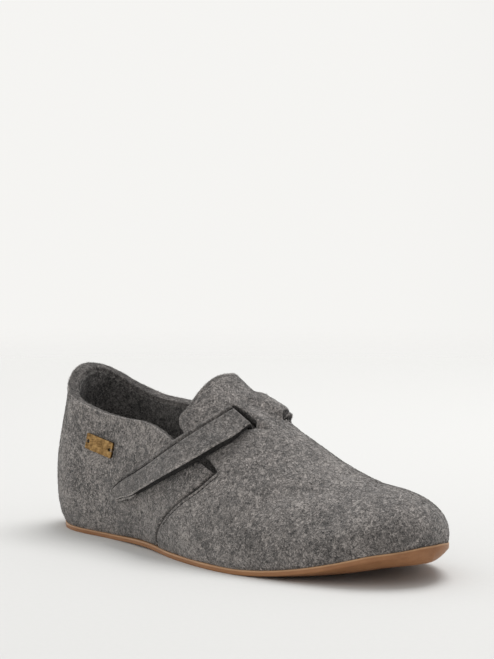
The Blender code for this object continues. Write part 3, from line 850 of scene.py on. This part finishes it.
def slab(name, plan, top, bottom, rim, shades, under_shade=FACE):
    """Closed slab over a plan, from its top and bottom heights."""
    over, under = (np.concatenate((plan, height[..., None]), -1) for height in (top, bottom))
    for grid in (over, under):
        for tip in (0, -1):
            grid[:, tip] = grid[:, tip].mean(axis=0)
    return closed_sheet(name, over, under, rim, shades, sewn="both", under_shade=under_shade,
                        rim_shades=[FACE] + [under_shade] * len(rim))


def sole_sheet(shades):
    """Sole: flat on the floor, rolled up round the toe."""
    plan, edge = foot_plan(-SOLE_LIP)
    at = share_at(plan[..., 0])
    top = seat(at) - GAP
    roll = SOLE_ROLL * ease(at, *ROLL_SPAN)
    bow = 1 - (1 - np.clip(edge / ROLL_REACH, 0, 1)) ** 2
    bottom = np.maximum(0.0, top - sole_edge(at) - roll * bow)
    corner = drop(edge, SOLE_ROUND)
    return slab("sole_sheet", plan, top - corner, bottom + corner, SOLE_RIM, shades, under_shade=INNER)


def inner_sole(shades):
    plan, edge = foot_plan(QUARTER_WALL + GAP)
    bottom = seat(share_at(plan[..., 0]))
    top = bottom + INSOLE_THICKNESS - drop(edge, INSOLE_ROUND)
    return slab("inner_sole", plan, top, bottom, FLAT_RIM, shades)


def strap_line(girths):
    """Middle, normal and sideways direction along the strap's path."""
    middle, normal = skin(curve(STRAP_PATH, girths), girths)
    ahead, _normal = skin(curve(STRAP_PATH, girths + STEP), girths + STEP)
    return middle, normal, unit(np.cross(normal, unit(ahead - middle)))


def path_girths():
    return np.linspace(STRAP_END, STRAP_SEWN_END, STRAP_SECTIONS + 1)


def path_lengths(girths):
    """Length along the strap's path from the first of its girths."""
    return run_lengths(strap_line(girths)[0], 0)[0]


def girth_length(girth):
    """Length along the strap's path from its free end to a girth."""
    girths = path_girths()
    return np.interp(girth, girths, path_lengths(girths))


def eased_rows(rows, girths):
    """Value at each girth of a table, eased between its rows."""
    value = np.full(girths.shape, rows[-1][1])
    for (start, low), (end, high) in zip(rows, rows[1:]):
        inside = (girths >= start) & (girths <= end)
        value = np.where(inside, low + (high - low) * ease(girths, start, end), value)
    return value


def strap_lift(girths, across):
    """Height of the strap's underside above the felt."""
    tilt = eased_rows(STRAP_TILT, girths)[:, None] * across / (STRAP_WIDTH / 2)
    return eased_rows(STRAP_LIFT, girths)[:, None] - tilt


def band_points(girths, across):
    """Points and normals of the last under a band, for offsets across each section."""
    middle, _normal, sideways = strap_line(girths)
    target = middle[:, None] + sideways[:, None] * across[..., None]
    along = np.broadcast_to(curve(STRAP_PATH, girths)[:, None], across.shape)
    return nearest_skin(target, along, np.broadcast_to(girths[:, None], across.shape))


def strap_widths(girths):
    """Full width of the strap, and the half width inside its round corners."""
    reach = girth_length(girths)
    width = STRAP_END_WIDTH + (STRAP_WIDTH - STRAP_END_WIDTH) * ease(girths, STRAP_END, STRAP_FULL_AT)
    short = np.clip(1 - reach / STRAP_CORNER, 0, 1)
    return width, width / 2 - STRAP_CORNER * (1 - np.sqrt(1 - short ** 2))


def strap_across(girths, half, rows):
    """Places across the strap, closer at its edges, and how far its toe side is drawn in."""
    narrow = eased_rows(STRAP_NARROW, girths)[:, None]
    shares = np.sin(np.linspace(-np.pi / 2, np.pi / 2, rows))
    return narrow / 2 + shares * (half[:, None] - narrow / 2), narrow


def strap_girths():
    """Girths of the strap's sections, closer at its free end and where it dives."""
    girths = path_girths()
    corner_span = girths[CORNER_SPAN] - STRAP_END
    corner = STRAP_END + corner_span * np.linspace(0, 1, CORNER_SECTIONS)[1:-1] ** 2
    dives = [np.linspace(*slot[:2], DIVE_SECTIONS) for slot in SLOTS]
    return np.unique(np.concatenate((girths, corner, *dives)))


def groove_across(reach, half):
    """Where the sewn line runs across the strap: at the edge near the free end, then inside it."""
    inset = GROOVE_INSET * ease(reach, GROOVE_FROM, GROOVE_FULL)
    return half - GROOVE_WIDTH - inset


def felt_strap(shades):
    """Strap with a sewn line inside its upper edge, and room for the tab under its free end."""
    girths = strap_girths()
    reach = path_lengths(girths)
    width, half = strap_widths(girths)
    across, narrow = strap_across(girths, half, STRAP_ROWS + 1)
    point, normal = band_points(girths, across)
    beside = width[:, None] / 2 - np.abs(across) - narrow * (across < 0)
    behind = np.broadcast_to(reach[:, None], across.shape)
    in_corner = (beside < STRAP_CORNER) & (behind < STRAP_CORNER)
    round_corner = STRAP_CORNER - np.hypot(STRAP_CORNER - beside, STRAP_CORNER - behind)
    edge = np.maximum(np.where(in_corner, round_corner, np.minimum(beside, behind)), 0)
    line = groove_across(reach, half)
    shown = ease(reach, 0.0, GROOVE_FROM)
    far_edge = (across > 0) & (girths > 0)[:, None]
    soft = STRAP_ROUND + eased_rows(STRAP_TILT, girths)[:, None] * far_edge
    groove = shown[:, None] * np.exp(-((across - line[:, None]) / GROOVE_WIDTH) ** 2)
    lift = strap_lift(girths, across)
    fine = PEBBLE_DEPTH * lumps(point, PEBBLE_SPACING, RNG_SEED + 2)
    height = lift + STRAP_THICKNESS + fine - drop(edge, soft) - GROOVE_DEPTH * groove
    over = point + normal * height[..., None]
    room = TAB_ROOM * (1 - ease(reach, *TAB_FADE))[:, None]
    to_slot = girth_length(SLOTS[0][0]) - reach
    backed = ease(reach, *TAB_FADE) * ease(to_slot, *BACKING_END)
    backing = BACKING * backed[:, None] * (0.5 - across / width[:, None])
    under = point + normal * (lift + room - backing)[..., None]
    near = girths < SLOTS[0][0]
    section_of = border(*across.shape, False)[:, 0]
    # The top ring of the near part's wall is painted highlight; the rings below it, the underside and the
    # groove are painted shade
    rim_shades = [np.where(near[section_of], EDGE, FACE)]
    rim_shades += [np.where(reach[section_of] >= limit, INNER, FACE) for limit in STRAP_SHADE_FROM]
    in_groove = (np.abs(across - line[:, None]) < GROOVE_SHADE_WIDTH) & (shown > 0)[:, None]
    # Painted highlight: a pale band along the lower edge of the near part's top face
    pale = (edge < STRAP_HIGHLIGHT_BAND) & (across < 0) & near[:, None]
    over_shade = np.where(pale[1:, 1:] & pale[:-1, :-1], EDGE, FACE)
    over_shade = np.where(in_groove[1:, 1:] & in_groove[:-1, :-1], INNER, over_shade).ravel()
    return closed_sheet("felt_strap", over, under, STRAP_RIM, shades, over_shade=over_shade,
                        under_shade=INNER, rim_shades=rim_shades)


def strap_tab(shades):
    """Thin layer under the strap's free end, a little longer and wider than the strap there, in painted
    highlight felt.
    """
    girths = strap_girths()
    girths = girths[path_lengths(girths) < TAB_LENGTH]
    reach = path_lengths(girths)
    _width, half = strap_widths(girths)
    spread = TAB_REACH - (TAB_REACH + TAB_TUCK) * ease(reach, *TAB_FADE)
    across, _narrow = strap_across(girths, half + spread, TAPE_ROWS)
    point, normal = band_points(girths, across)
    ahead = unit(point[:1] - point[1:2])
    point = point + ahead * TAB_END_REACH * (1 - ease(reach, 0.0, STRAP_CORNER))[:, None, None]
    lift = strap_lift(girths, across)[..., None]
    under = point + normal * lift
    return closed_sheet("strap_tab", point + normal * (lift + TAB_THICKNESS), under, FLAT_RIM, shades)


def bridge_lining(shades):
    """Layer inside the vamp that covers the strap from below, sewn to the wall round its edge."""
    girths = np.linspace(*BRIDGE_GIRTHS, TAPE_SECTIONS)
    across = np.linspace(-1, 1, TAPE_SECTIONS) * np.full((TAPE_SECTIONS, 1), BRIDGE_WIDTH / 2)
    point, normal = band_points(girths, across)
    reach = path_lengths(girths)[:, None]
    edge = np.minimum(np.minimum(reach, reach[-1] - reach), BRIDGE_WIDTH / 2 - np.abs(across))
    depth = VAMP_WALL + (STRAP_UNDER + GAP - VAMP_WALL) * ease(edge, 0.0, BRIDGE_EASE)
    over = point - normal * depth[..., None]
    under = over - normal * BRIDGE_THICKNESS
    return closed_sheet("bridge_lining", over, under, FLAT_RIM, shades)


def strap_tape(shades):
    girths = np.linspace(*TAPE_GIRTHS, TAPE_SECTIONS)
    across = np.linspace(-1, 1, TAPE_ROWS) * np.full((TAPE_SECTIONS, 1), TAPE_WIDTH / 2)
    point, normal = band_points(girths, across)
    over = point + normal * (GAP + TAPE_THICKNESS)
    under = point + normal * GAP
    return closed_sheet("strap_tape", over, under, FLAT_RIM, shades)


def slot_cutter(start, end, low, high, corner):
    girths = np.linspace(start, end, SLOT_SECTIONS)
    reach = path_lengths(girths)
    beyond = np.maximum(np.abs(reach - reach[-1] / 2) - reach[-1] / 2 + corner, 0)
    half = (high - low) / 2 - corner + np.sqrt(corner ** 2 - beyond ** 2)
    across = (low + high) / 2 + np.linspace(-1, 1, SLOT_ROWS) * half[:, None]
    point, normal = band_points(girths, across)
    over = point + normal * SLOT_REACH
    under = point - normal * (VAMP_WALL + SLOT_REACH)
    # The slot walls take the vamp's inner shade: dark lining felt as painted shade in the slots
    return closed_sheet("slot_cutter", over, under, (), [], rim_shades=[INNER])


def cut(target, cutter):
    """Take the cutter out of the target."""
    boolean = target.modifiers.new("cut", "BOOLEAN")
    boolean.operation = "DIFFERENCE"
    boolean.solver = "EXACT"
    boolean.object = cutter
    depsgraph = bpy.context.evaluated_depsgraph_get()
    mesh = bpy.data.meshes.new_from_object(target.evaluated_get(depsgraph))
    target.modifiers.clear()
    target.data = mesh
    bpy.data.objects.remove(cutter)


def stitch_row(name, lines, pitch, shades):
    """Thread stitches along lines of points and normals; each one dips into the felt at its ends."""
    t = np.linspace(0, 1, STITCH_STEPS)
    thickness = THREAD_RADIUS * np.sqrt(np.sin(np.pi * np.clip(t, *STITCH_TAPER)))
    arch = THREAD_RADIUS * (STITCH_ARCH * np.sin(np.pi * t) - STITCH_DIP)
    turns = np.arange(STITCH_SIDES)
    angles = 2 * np.pi * turns / STITCH_SIDES
    rings = STITCH_SIDES * np.arange(STITCH_STEPS)[:, None]
    corners = np.stack((rings + turns, rings + np.roll(turns, -1)), -1)
    sides = np.concatenate((corners[:-1], corners[1:, :, ::-1]), -1).reshape(-1, 4)
    points = []
    faces = []
    for line, normals in lines:
        lengths, _left = run_lengths(line, 0)
        for start in np.arange(pitch / 2, lengths[-1] - STITCH_LENGTH, pitch):
            at = start + t * STITCH_LENGTH
            core = np.stack([np.interp(at, lengths, line[:, k]) for k in range(3)], -1)
            out = unit(np.stack([np.interp(at, lengths, normals[:, k]) for k in range(3)], -1))
            core = core + out * arch[:, None]
            run = unit(np.gradient(core, axis=0))
            side = np.cross(out, run)
            spokes = side[:, None] * np.cos(angles)[:, None] + out[:, None] * np.sin(angles)[:, None]
            first = len(points)
            points.extend((core[:, None] + spokes * thickness[:, None, None]).reshape(-1, 3))
            faces.extend(first + sides)
            faces.extend((first + rings[0] + turns, first + rings[-1] + turns))
    return make_object(name, np.array(points), faces, shades)


def seam_line(side):
    """Sewn line on the vamp, inside its edge along the seam."""
    rise = np.linspace(SEAM_LINE_FROM, SLIT_RISE, SEAM_ROWS)
    start = vamp_start(rise)
    ahead = last_point(side, start + STEP, rise) - last_point(side, start, rise)
    pace = np.linalg.norm(ahead, axis=-1) / STEP
    point, normal = last_frame(side, start + SEAM_GAP / LENGTH + SEAM_LINE / pace, rise)
    return point - normal * SEAM_LINE_DEPTH / 2, normal


def lining_line(grids):
    """Sewn line of the lining, a little below its edge inside the collar."""
    _over, under, normal, collar = grids
    row = np.abs(collar - LINING_DEPTH - LINING_STITCH).argmin(axis=0)
    column = np.arange(under.shape[1])
    return under[row, column], -normal[row, column]


def strap_stitch_line():
    girths = np.linspace(STRAP_END, SLOTS[0][0], STRAP_SECTIONS)
    girths = girths[path_lengths(girths) > GROOVE_FROM]
    reach = girth_length(girths)
    _width, half = strap_widths(girths)
    line = groove_across(reach, half)
    point, normal = band_points(girths, line[:, None])
    height = strap_lift(girths, line[:, None]) + STRAP_THICKNESS - GROOVE_DEPTH
    return point[:, 0] + normal[:, 0] * height, normal[:, 0]


def tag_thread_lines():
    """Threads from the holes of the metal tag over its short edges."""
    _point, lengthwise, upright, normal = plate_frame()
    face = tag_middle() - SHIFT + normal * PLATE_THICKNESS / 2
    lines = []
    for end in (-1, 1):
        for offset in TAG_THREADS:
            x = end * np.linspace(PLATE_HOLE_AT, PLATE_HOLE_AT + TAG_THREAD_REACH, STITCH_STEPS)
            line = face + x[:, None] * lengthwise + offset * upright
            lines.append((line, np.tile(normal, (STITCH_STEPS, 1))))
    return lines


def felt_nap(name, sheet, count, shades):
    """Short bent fibres over the outer faces of the felt, pointed at both ends."""
    rng = np.random.default_rng(RNG_SEED)
    polygons = sheet.data.polygons
    centre = np.array([face.center for face in polygons])
    normal = np.array([face.normal for face in polygons])
    area = np.array([face.area for face in polygons])
    inner = np.array([face.material_index == INNER for face in polygons])
    area = np.where(inner | (normal[:, 2] < NAP_LOWEST), 0.0, area)
    chosen = rng.choice(len(area), size=count, p=area / area.sum())
    out = normal[chosen]
    turn = unit(np.cross(out, rng.normal(size=out.shape)))
    side = np.cross(out, turn)
    length = rng.uniform(*NAP_LENGTH, count)[:, None]
    spread = np.sqrt(area[chosen] / MM ** 2)[:, None] * rng.uniform(-0.5, 0.5, (count, 2))
    root = centre[chosen] / MM - SHIFT + turn * spread[:, :1] + side * spread[:, 1:]
    lift = rng.uniform(*NAP_LIFT, (count, 2))
    bend = rng.normal(0.0, NAP_BEND, (count, 1)) * length
    tail = root - turn * length / 2 - out * NAP_RADIUS
    crest = root + out * lift[:, :1] + side * bend
    tip = root + turn * length / 2 + out * lift[:, 1:]
    angles = 2 * np.pi * np.arange(3) / 3
    ring = [crest + NAP_RADIUS * (side * np.cos(a) + out * np.sin(a)) for a in angles]
    points = np.stack((tail, tip, *ring), axis=1).reshape(-1, 3)
    pattern = np.array(((0, 3, 2), (0, 4, 3), (0, 2, 4), (1, 2, 3), (1, 3, 4), (1, 4, 2)))
    faces = (5 * np.arange(count)[:, None, None] + pattern).reshape(-1, 3)
    tints = rng.choice(len(shades), size=count, p=NAP_TINTS)
    return make_object(name, points, faces, shades, np.repeat(tints, len(pattern)), weld=False)


def fill(tree, node, inputs):
    """Give each input of a node its value, or a link from another node's socket."""
    for name, value in inputs.items():
        if isinstance(value, bpy.types.NodeSocket):
            tree.links.new(value, node.inputs[name])
        else:
            node.inputs[name].default_value = value


def add_node(tree, kind, inputs, output, **settings):
    """Output of a new shader node with these settings and inputs."""
    node = tree.nodes.new("ShaderNode" + kind)
    for name, value in settings.items():
        setattr(node, name, value)
    fill(tree, node, inputs)
    return node.outputs[output]


def colour_ramp(tree, value, stops):
    """Colour that a value picks from stops of a place and a colour."""
    colour = add_node(tree, "ValToRGB", {"Fac": value}, "Color")
    elements = colour.node.color_ramp.elements
    while len(elements) < len(stops):
        elements.new(1.0)
    for element, (at, tone) in zip(elements, stops):
        element.position = at
        element.color = (*tone, 1.0)
    return colour


class Shade:
    """One procedural material: a Principled shader and short helpers for its nodes."""

    def __init__(self, name, **sockets):
        self.material = bpy.data.materials.new(name)
        self.material.use_nodes = True
        self.tree = self.material.node_tree
        self.places = self.add("TexCoord", {}, "Object")
        self.set(**sockets)

    def set(self, **sockets):
        inputs = {name.replace("_", " "): value for name, value in sockets.items()}
        fill(self.tree, self.tree.nodes["Principled BSDF"], inputs)

    def add(self, kind, inputs, output, **settings):
        return add_node(self.tree, kind, inputs, output, **settings)

    def stretched(self, scale):
        return self.add("Mapping", {"Vector": self.places, "Scale": scale}, "Vector")

    def noise(self, size, detail=2.0, distortion=0.0, places=None, roughness=0.5):
        """Noise with features of about this size in millimetres."""
        inputs = {"Vector": places or self.places, "Scale": 1 / (size * MM), "Detail": detail,
                  "Roughness": roughness, "Distortion": distortion}
        return self.add("TexNoise", inputs, "Fac")

    def math(self, operation, *values):
        return self.add("Math", dict(enumerate(values)), "Value", operation=operation)

    def weighted(self, *parts):
        """Sum of values, each with its weight."""
        total = self.math("MULTIPLY", *parts[0])
        for value, weight in parts[1:]:
            total = self.math("MULTIPLY_ADD", value, weight, total)
        return total

    def colour(self, value, *stops):
        self.set(Base_Color=colour_ramp(self.tree, value, stops))

    def bump(self, height, distance, strength):
        """Bump with its height range as a distance in millimetres."""
        inputs = {"Height": height, "Distance": distance * MM, "Strength": strength}
        self.set(Normal=self.add("Bump", inputs, "Normal"))


def felt_shade(name, tone, contrast=1.0, sheen=0.40):
    """Heathered wool felt: light and dark fibres pressed together."""
    shade = Shade(name, Roughness=0.95, Sheen_Weight=sheen, Sheen_Roughness=0.6, Specular_IOR_Level=0.15)
    grain = shade.noise(0.9, distortion=1.0, roughness=0.6)
    mottle = shade.noise(3.0, distortion=0.6)
    cloud = shade.noise(17.0)
    curl = shade.noise(2.2, distortion=2.8)
    ridge = shade.math("ABSOLUTE", shade.math("SUBTRACT", curl, 0.5))
    away = shade.math("MINIMUM", shade.math("MULTIPLY", ridge, FIBRE_SHARPNESS), 1.0)
    fibre = shade.math("SUBTRACT", 1.0, away)
    stops = []
    for at, level in FELT_LEVELS:
        grey = tuple(level * channel for channel in tone)
        stops.append((FELT_MIDDLE + (at - FELT_MIDDLE) / contrast, grey))
    shade.colour(shade.weighted((mottle, 0.24), (grain, 0.60), (cloud, 0.16), (fibre, 0.05)), *stops)
    shade.bump(shade.math("MULTIPLY_ADD", fibre, 0.3, grain), distance=0.5, strength=0.9)
    return shade.material


def sole_shade(name, dark, middle, light):
    """Tan sheet with faint streaks along the foot and a satin face."""
    shade = Shade(name, Roughness=0.5, Specular_IOR_Level=0.4)
    streak = shade.noise(6.0, detail=4.0, places=shade.stretched((0.12, 1.0, 1.6)))
    patch = shade.noise(22.0)
    speck = shade.noise(0.7, detail=1.0)
    mixed = shade.weighted((patch, 0.30), (streak, 0.55), (speck, 0.15))
    shade.colour(mixed, (0.32, dark), (0.50, middle), (0.68, light))
    shade.bump(shade.math("MULTIPLY_ADD", speck, 0.4, streak), distance=0.15, strength=0.5)
    return shade.material


# Insole felt: its own dark tone, darkened further as painted shade inside the shoe
def insole_shade(name):
    shade = Shade(name, Roughness=0.95, Sheen_Weight=0.2, Sheen_Roughness=0.6, Specular_IOR_Level=0.2)
    grain = shade.noise(0.9, detail=3.0, distortion=1.2)
    shade.colour(grain, (0.35, (0.035, 0.033, 0.032)), (0.65, (0.095, 0.090, 0.087)))
    shade.bump(grain, distance=0.3, strength=0.7)
    return shade.material


def thread_shade(name, tone):
    shade = Shade(name, Roughness=0.8)
    dim = tuple(THREAD_DIM * channel for channel in tone)
    shade.colour(shade.noise(0.4, detail=1.0), (0.35, dim), (0.65, tone))
    return shade.material


def tape_shade(name):
    shade = Shade(name, Roughness=0.8)
    weave = shade.noise(0.5, detail=1.0)
    shade.colour(weave, (0.4, (0.010, 0.010, 0.012)), (0.6, (0.035, 0.036, 0.040)))
    shade.bump(weave, distance=0.3, strength=1.0)
    return shade.material


def brass_shade(name):
    """Brushed brass, dulled in patches."""
    shade = Shade(name, Roughness=0.42, Metallic=1.0)
    brush = shade.noise(0.35, places=shade.stretched((0.06, 1.0, 2.0)))
    patch = shade.noise(2.2, detail=4.0, roughness=0.6)
    stops = ((0.36, (0.100, 0.055, 0.018)), (0.50, (0.255, 0.150, 0.055)), (0.64, (0.430, 0.275, 0.110)))
    shade.colour(shade.weighted((brush, 0.3), (patch, 0.7)), *stops)
    shade.bump(brush, distance=0.05, strength=0.5)
    return shade.material


def floor_shade(name):
    """Pale floor that fades out into the studio."""
    shade = Shade(name, Roughness=0.9, Specular_IOR_Level=0.1)
    shade.colour(shade.noise(3.0), (0.3, (0.646, 0.644, 0.636)), (0.7, (0.654, 0.652, 0.644)))
    shade.material.blend_method = "BLEND"
    distance = shade.add("VectorMath", {0: shade.places}, "Value", operation="LENGTH")
    start, end = FLOOR_FADE
    reach = {"Value": distance, "From Min": start, "From Max": end, "To Min": 1.0, "To Max": 0.0}
    shade.set(Alpha=shade.add("MapRange", reach, "Result", interpolation_type="SMOOTHSTEP"))
    return shade.material


def dress(piece, slot, *nodes):
    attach(piece, BODY)
    if nodes:
        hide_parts(*nodes)
    return piece


def metal_tag(node, shade):
    node.data.materials.clear()
    node.data.materials.append(shade)
    bevel = node.modifiers.new("soft edges", "BEVEL")
    bevel.width = PLATE_BEVEL * MM
    bevel.segments = PLATE_BEVEL_STEPS
    bevel.limit_method = "ANGLE"


def aim(thing, location, target):
    """Put a lamp or camera at a place, turned to its target."""
    thing.location = location
    thing.rotation_euler = (Vector(target) - Vector(location)).to_track_quat("-Z", "Y").to_euler()


def studio():
    """Pale floor, a soft dome that is brightest behind the heel, and a large lamp overhead."""
    floor_mesh = bpy.data.meshes.new("floor")
    corners = [(x * FLOOR_REACH, y * FLOOR_REACH, 0) for x, y in ((-1, -1), (1, -1), (1, 1), (-1, 1))]
    floor_mesh.from_pydata(corners, [], [(0, 1, 2, 3)])
    floor_mesh.materials.append(floor_shade("pale floor"))
    add_object("floor", floor_mesh)

    world = bpy.data.worlds.new("studio")
    bpy.context.scene.world = world
    world.use_nodes = True
    tree = world.node_tree
    places = add_node(tree, "TexCoord", {}, "Generated")
    axis = unit(np.array(DOME_AXIS))
    towards = add_node(tree, "VectorMath", {0: places, 1: axis}, "Value", operation="DOT_PRODUCT")
    share = add_node(tree, "MapRange", {"Value": towards, "From Min": -1.0}, "Result")
    fill(tree, tree.nodes["Background"], {"Color": colour_ramp(tree, share, DOME_STOPS)})

    lamp = bpy.data.lights.new("overhead", "AREA")
    lamp.shape = "DISK"
    lamp.size = LAMP_SIZE
    lamp.energy = LAMP_POWER
    aim(add_object("overhead", lamp), LAMP_PLACE, (0, 0, 0))


def camera():
    data = bpy.data.cameras.new("camera")
    data.sensor_fit = "VERTICAL"
    data.sensor_height = CAMERA_SENSOR
    data.lens = CAMERA_LENS
    eye = add_object("camera", data)
    aim(eye, CAMERA_PLACE, CAMERA_AIM)
    bpy.context.scene.camera = eye
    bpy.context.scene.view_settings.view_transform = "Standard"


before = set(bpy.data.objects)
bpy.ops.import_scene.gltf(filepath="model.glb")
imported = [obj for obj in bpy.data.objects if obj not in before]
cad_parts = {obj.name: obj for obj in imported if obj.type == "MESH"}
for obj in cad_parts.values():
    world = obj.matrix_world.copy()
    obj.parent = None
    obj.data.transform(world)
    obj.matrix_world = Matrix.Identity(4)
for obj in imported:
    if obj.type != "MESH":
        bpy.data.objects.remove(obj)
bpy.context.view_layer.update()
SHIFT = frame_shift()

grey_felt = felt_shade("grey felt", (0.184, 0.166, 0.155), contrast=1.3)
strap_felt = felt_shade("strap felt", (0.146, 0.132, 0.123), contrast=1.3)
# Pale felt is painted highlight, for the lit edges of the strap and its tab
highlight_felt = felt_shade("painted highlight felt", (0.350, 0.321, 0.301))
heel_felt = felt_shade("heel felt", (0.178, 0.160, 0.149), contrast=1.7)
# Cut felt: the rim's own tone, darkened partly as painted shade inside the collar
cut_and_shaded_felt = felt_shade("cut felt with painted shade", (0.092, 0.084, 0.079), contrast=1.4, sheen=0.15)
# Lining felt: partly the lining's own tone, partly painted shade inside the shoe
lining_and_shade_felt = felt_shade("lining felt with painted shade", (0.092, 0.086, 0.082), contrast=1.3, sheen=0.12)
# Painted shadow on the strap's walls, its underside and its sewn groove
shadow_felt = felt_shade("painted shadow felt", (0.022, 0.020, 0.019), sheen=0.05)
pale_thread = thread_shade("pale thread", (0.300, 0.285, 0.270))
dark_thread = thread_shade("dark thread", (0.030, 0.028, 0.027))
pale_sole = sole_shade("pale sole", (0.330, 0.175, 0.086), (0.425, 0.239, 0.123), (0.520, 0.315, 0.172))
tan_sole = sole_shade("tan sole", (0.248, 0.107, 0.042), (0.306, 0.139, 0.057), (0.364, 0.173, 0.074))
fibres = [
    thread_shade("pale fibre", (0.330, 0.310, 0.295)),
    thread_shade("grey fibre", (0.150, 0.140, 0.133)),
    thread_shade("dark fibre", (0.018, 0.017, 0.017)),
]

vamp = felt_vamp([grey_felt, lining_and_shade_felt])
for slot in SLOTS:
    cut(vamp, slot_cutter(*slot))
dress(vamp, "grey_felt", "upper")
quarter = quarter_grids()
heel = dress(felt_quarter(quarter, [heel_felt, lining_and_shade_felt, cut_and_shaded_felt]), "grey_felt", "upper")
dress(sole_sheet([pale_sole, tan_sole]), "tan_sole", "outsole")
dress(inner_sole([insole_shade("insole felt")]), "insole_felt", "insole")
strap = dress(felt_strap([strap_felt, shadow_felt, highlight_felt]), "strap_felt", "strap")
dress(strap_tab([highlight_felt]), "strap_felt", "strap")
dress(bridge_lining([lining_and_shade_felt]), "grey_felt", "upper")
dress(strap_tape([tape_shade("black tape")]), "hook_tape", "hook_tape")
dress(felt_nap("vamp_nap", vamp, WALL_FIBRES, fibres), "grey_felt")
dress(felt_nap("quarter_nap", heel, WALL_FIBRES, fibres), "grey_felt")
dress(felt_nap("strap_nap", strap, STRAP_FIBRES, fibres), "strap_felt")
dress(stitch_row("seam_stitches", [seam_line(-1), seam_line(1)], STITCH_PITCH, [dark_thread]), "grey_felt")
dress(stitch_row("lining_stitches", [lining_line(quarter)], LINING_PITCH, [pale_thread]), "grey_felt")
dress(stitch_row("strap_stitches", [strap_stitch_line()], STITCH_PITCH, [dark_thread]), "strap_felt")
dress(stitch_row("tag_threads", tag_thread_lines(), TAG_PITCH, [pale_thread]), "grey_felt")
metal_tag(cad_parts["plate"], brass_shade("aged brass"))
studio()
camera()
